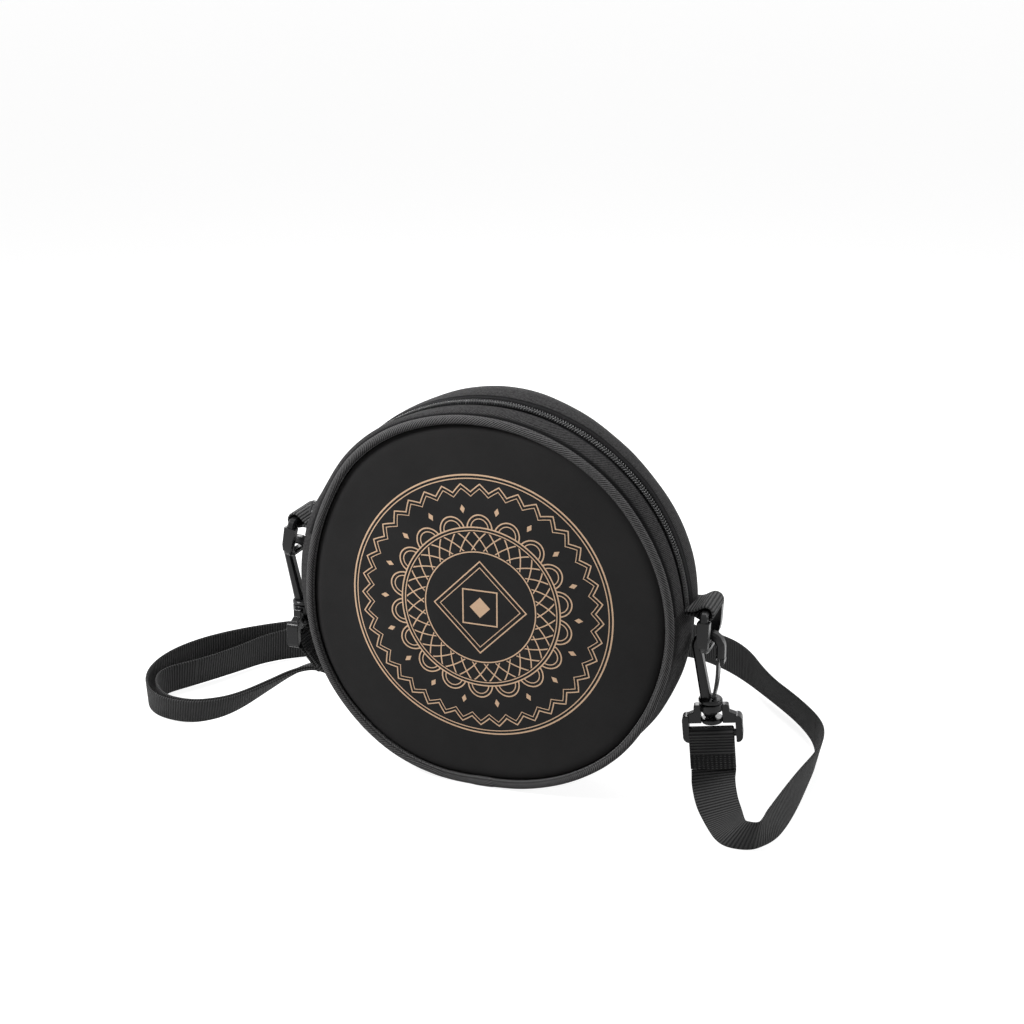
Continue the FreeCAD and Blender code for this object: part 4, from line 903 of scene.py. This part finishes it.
def web_piece(name, line, sides):
    """A strap that follows a line, each point with the direction of its width."""
    sections = []
    for k, centre in enumerate(line):
        ahead = (line[min(k + 1, len(line) - 1)] - line[max(k - 1, 0)]).normalized()
        sections.append(web_section(centre, sides[k], ahead.cross(sides[k]).normalized()))
    return sweep(name, sections)


def run_length(line):
    return sum((after - before).length for before, after in zip(line, line[1:]))


def folded_web(name, place, route, body, nodes):
    """Webbing folded round a bar, from a route of (out, over) millimetres with its width along y."""
    line = drawn(name, [Vector((out, 0, over)) * MM for out, over in route], 10)
    side = place.to_3x3() @ Vector((0, 1, 0))
    piece = web_piece(name, [place @ point for point in line], [side] * len(line))
    return dress(piece, web_finish(name + "_finish", run_length(line)), body, "webbing", *nodes)


def fold_round(reach, gap, radius, tail):
    """The route of two plies that close behind a bar of that radius."""
    circle = [(radius * math.cos(math.radians(angle)), radius * math.sin(math.radians(angle)))
              for angle in (135, 90, 45, 0, -45, -90, -135)]
    upper = [(-tail, gap), (-reach * 1.6, gap), (-reach, gap * 1.3)]
    return upper + circle + [(out, -over) for out, over in reversed(upper)]


for side, angle in (("right", ZIP_RIGHT), ("left", ZIP_LEFT)):
    turned = Matrix.Rotation(math.radians(-angle), 4, "Y")
    folded_web(side + "_tab_web", Matrix.Translation(joint_at[side + "_swing"]) @ turned,
               fold_round(reach=6.0, gap=0.95, radius=4.25, tail=19.0), "bag", [side + "_tab"])

# Each loop turns and tilts with its base and leans as the strap pulls it; drift sets it off the middle.
LOOP_DROP = 21.15
UPRIGHT = Matrix(((0, 1, 0, 0), (0, 0, 1, 0), (1, 0, 0, 0), (0, 0, 0, 1)))
loops = {}
loop_place = {}
for side, spin, tilt, lean, drift in (("right", 10, -6.5, -12, 1.2), ("left", 90, 0, -38, 0)):
    bar = joint_at[side + "_swivel"] + Vector((drift, 0, -LOOP_DROP)) * MM
    loop_place[side] = (Matrix.Translation(bar) @ Matrix.Rotation(math.radians(spin), 4, "Z")
                        @ Matrix.Rotation(math.radians(tilt), 4, "Y")
                        @ Matrix.Rotation(math.radians(lean), 4, "X"))
    loops[side] = folded_web(side + "_strap_loop", loop_place[side] @ UPRIGHT,
                             fold_round(reach=6.0, gap=1.0, radius=3.25, tail=20.0),
                             side + "_base", ["strap_%s_loop" % side])

GLIDE_MIDDLE = (9.6, 179.4, 16.2)
GLIDE_TURN = math.radians(8.98)
GLIDE_FOLD = [(-4.2, -2), (0, -2), (3.3, -2), (3.5, -4.2), (3.3, -6.4), (0, -6.45), (-3.3, -6.4),
              (-3.55, -4.6), (-3.3, -3.7)]
ON_EDGE = Matrix(((1, 0, 0, 0), (0, 0, 1, 0), (0, -1, 0, 0), (0, 0, 0, 1)))
glide_place = Matrix.Translation(Vector(GLIDE_MIDDLE) * MM) @ Matrix.Rotation(GLIDE_TURN, 4, "Z")
glide_loop = folded_web("glide_strap_loop", glide_place @ ON_EDGE, GLIDE_FOLD, "glide", ["strap_glide_loop"])


# The shoulder strap: one length of the webbing from the right hook, in a bend on the table, behind the bag
# and through its slider, to the left hook, where it turns back beside itself and ends on the slider's bar.
# Each route point is (x, y, z) in millimetres and the direction of the width there.
RIGHT_RUN = [
    (129.2, -6.8, 17.2, 0.95, 0.08, 0.3), (134, -18, 11.8, 0.91, 0, 0.42), (139, -25, 7.8, 0.86, -0.1, 0.5),
    (143.4, -34.2, 8.2, 0.76, -0.17, 0.62), (146.6, -41.4, 9.8, 0.64, -0.17, 0.75),
    (151, -48, 10.9, 0.47, -0.26, 0.84), (161.4, -48.5, 11.5, 0.23, -0.39, 0.88),
    (165.2, -41.4, 11.7, 0.03, -0.44, 0.89), (167, -34.6, 11.9, -0.09, -0.4, 0.91),
    (168.6, -26.9, 11.9, -0.14, -0.39, 0.91), (170.8, -11, 12.1, -0.13, -0.35, 0.93),
    (173.5, 13, 12.4, 0, -0.25, 0.97), (176.5, 38, 12.7, 0.22, -0.1, 0.97),
    (176.5, 62, 12.8, 0.2, -0.05, 0.97), (171.5, 84, 12.8, 0.05, -0.3, 0.95),
    (156, 109, 12.4, -0.17, -0.27, 0.95), (134.5, 134, 12.5, -0.27, -0.24, 0.93),
    (109, 166.5, 14.6, 0, 0, 1), (84, 181, 15.6, -0.1, -0.1, 1)]
GLIDE_RUN = [(64, 188, 16.2, 0, 0, 1), (30, 182.62, 16.2, 0, 0, 1), (-4, 177.25, 16.2, 0, 0, 1),
             (-38, 171.87, 16.2, 0, 0, 1), (-72, 166.5, 16.2, 0, 0, 1)]
OUTER_BEND = [
    (-104, 157, 14.8, 0, 0, 1), (-142, 136, 13, 0, 0, 1), (-182, 112, 13, 0.05, -0.05, 1),
    (-212, 88, 13, 0.1, -0.1, 1), (-233, 60, 13, 0.1, -0.1, 1), (-242, 30, 12.9, 0.1, -0.1, 1),
    (-240.5, 5, 11.9, 0.2, -0.4, 0.89), (-223, -15, 10.8, 0.34, -0.5, 0.8)]
INNER_BEND = [
    (-102, 152.5, 14.8, 0, 0, 1), (-139, 131, 13, 0, 0, 1), (-173, 107.5, 13, 0.1, -0.1, 1),
    (-196, 86, 12.8, 0.2, -0.25, 0.95), (-207, 60, 12.4, 0.3, -0.3, 0.9), (-220, 37, 12, 0.33, -0.3, 0.88),
    (-237.4, 12, 11.8, 0.2, -0.36, 0.9), (-220.5, -11, 10.9, 0.34, -0.5, 0.8)]
LEFT_RUN = [
    (-197, -17.5, 11.4, 0.37, -0.45, 0.82), (-178, -14, 15, 0.4, -0.47, 0.78),
    (-163, -11, 21.5, 0.4, -0.58, 0.7), (-144, -8, 34, 0.41, -0.74, 0.53),
    (-131, -5, 42.5, 0.42, -0.8, 0.43), (-119, -2, 47.6, 0.42, -0.84, 0.34),
    (-109.5, 0, 48.2, 0.3, -0.93, 0.2), (-104.6, 0, 48.2, 0.1, -1, 0.05)]
# How far each of the two layers is moved to its side, and where the strap's pieces meet.
OUTER_SHIFT, INNER_SHIFT = 0.78, -0.76
RIGHT_CUT, LEFT_CUT, RETURN_CUT = (175, 86, 13), (-242, 30, 13), (-217, 32, 12)


def strap_point(place, width):
    """A route point from a place in metres and the direction of the width there."""
    return (*(place / MM), *width)


def ply_end(side, ply, width):
    """Where a ply of a hook's sewn loop goes on as the strap: its end and a point further along."""
    ends = [loop_place[side] @ (Vector((0, ply, -drop)) * MM) for drop in (20.1, 22.6)]
    return [strap_point(end, width) for end in ends]


def beside(before, run, after, shift):
    """A run moved to one side, where the strap lies in two layers."""
    whole = [before] + run + [after]
    moved = []
    for last, here, following in zip(whole, run, whole[2:]):
        place = Vector(here[:3])
        heading = (place - Vector(last[:3])).normalized() + (Vector(following[:3]) - place).normalized()
        aside = heading.cross(Vector(here[3:])).normalized() * (shift * 2 / heading.length)
        moved.append((*(place + aside), *here[3:]))
    return moved


def strap_line(name, route):
    """The strap's middle line and width directions, read from a smooth rail along each edge."""
    rails = []
    for edge in (-WEB_HALF, WEB_HALF):
        points = [(Vector(point[:3]) + Vector(point[3:]).normalized() * edge) * MM for point in route]
        rails.append(drawn(name, points, 16))
    pairs = list(zip(*rails))
    return [(low + high) / 2 for low, high in pairs], [(high - low).normalized() for low, high in pairs]


def cut(line, place):
    """The number of the line's point nearest to a place in millimetres."""
    return min(range(len(line)), key=lambda k: (line[k] - Vector(place) * MM).length)


def strap_piece(name, line, sides, first, last):
    return web_piece(name, line[first:last + 1], sides[first:last + 1])


left_outer, left_inner = ply_end("left", -1, (0, -1, 0)), ply_end("left", 1, (0, -1, 0))
main_route = (ply_end("right", 1, (0.965, 0.17, 0.19)) + RIGHT_RUN + GLIDE_RUN + OUTER_BEND
              + beside(OUTER_BEND[-1], LEFT_RUN, left_outer[1], OUTER_SHIFT) + left_outer[::-1])
main_line, main_sides = strap_line("strap_rail", main_route)
aside = glide_place.to_3x3() @ Vector((0, -2, 0))
glide_end = strap_point(glide_place @ (Vector((-4.3, -2, 0)) * MM), (0, 0, 1))
beside_glide = [(*(Vector(point[:3]) + aside), 0, 0, 1) for point in GLIDE_RUN[3:]]
return_route = ([glide_end] + beside_glide + INNER_BEND
                + beside(INNER_BEND[-1], LEFT_RUN, left_inner[1], INNER_SHIFT) + left_inner[::-1])
return_line, return_sides = strap_line("return_rail", return_route)

bend = cut(main_line, RIGHT_CUT)
middle = cut(main_line, GLIDE_MIDDLE)
turn = cut(main_line, LEFT_CUT)
right_end = strap_piece("strap_right_end", main_line, main_sides, 0, bend)
right_back = strap_piece("strap_right_back", main_line, main_sides, bend, middle)
left_back = strap_piece("strap_left_back", main_line, main_sides, middle, turn)
left_end = strap_piece("strap_left_end", main_line, main_sides, turn, len(main_line) - 1)
fold = cut(return_line, RETURN_CUT)
return_back = strap_piece("strap_return_back", return_line, return_sides, 0, fold)
return_end = strap_piece("strap_return_end", return_line, return_sides, fold, len(return_line) - 1)

dress(right_end, web_black, None, "webbing", "strap_main")
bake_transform(right_end)
for piece in (right_back, left_back):
    dress(piece, web_black, "bag", "webbing")
dress(return_back, web_black, None, "webbing", "strap_return")
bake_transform(return_back)
for piece in (left_end, return_end):
    dress(piece, web_black, None, "webbing")
    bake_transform(piece)


def declare_strap(path, with_pieces):
    run_length(path)


declare_strap(main_line[bend::-1], [loops["right"]] + hardware["right"])
declare_strap(main_line[bend:middle + 1], [glide, glide_loop])
declare_strap(main_line[turn:middle - 1:-1], [])
declare_strap(main_line[turn:], [loops["left"]] + hardware["left"])
declare_strap(return_line[fold::-1], [])
declare_strap(return_line[fold:], [])
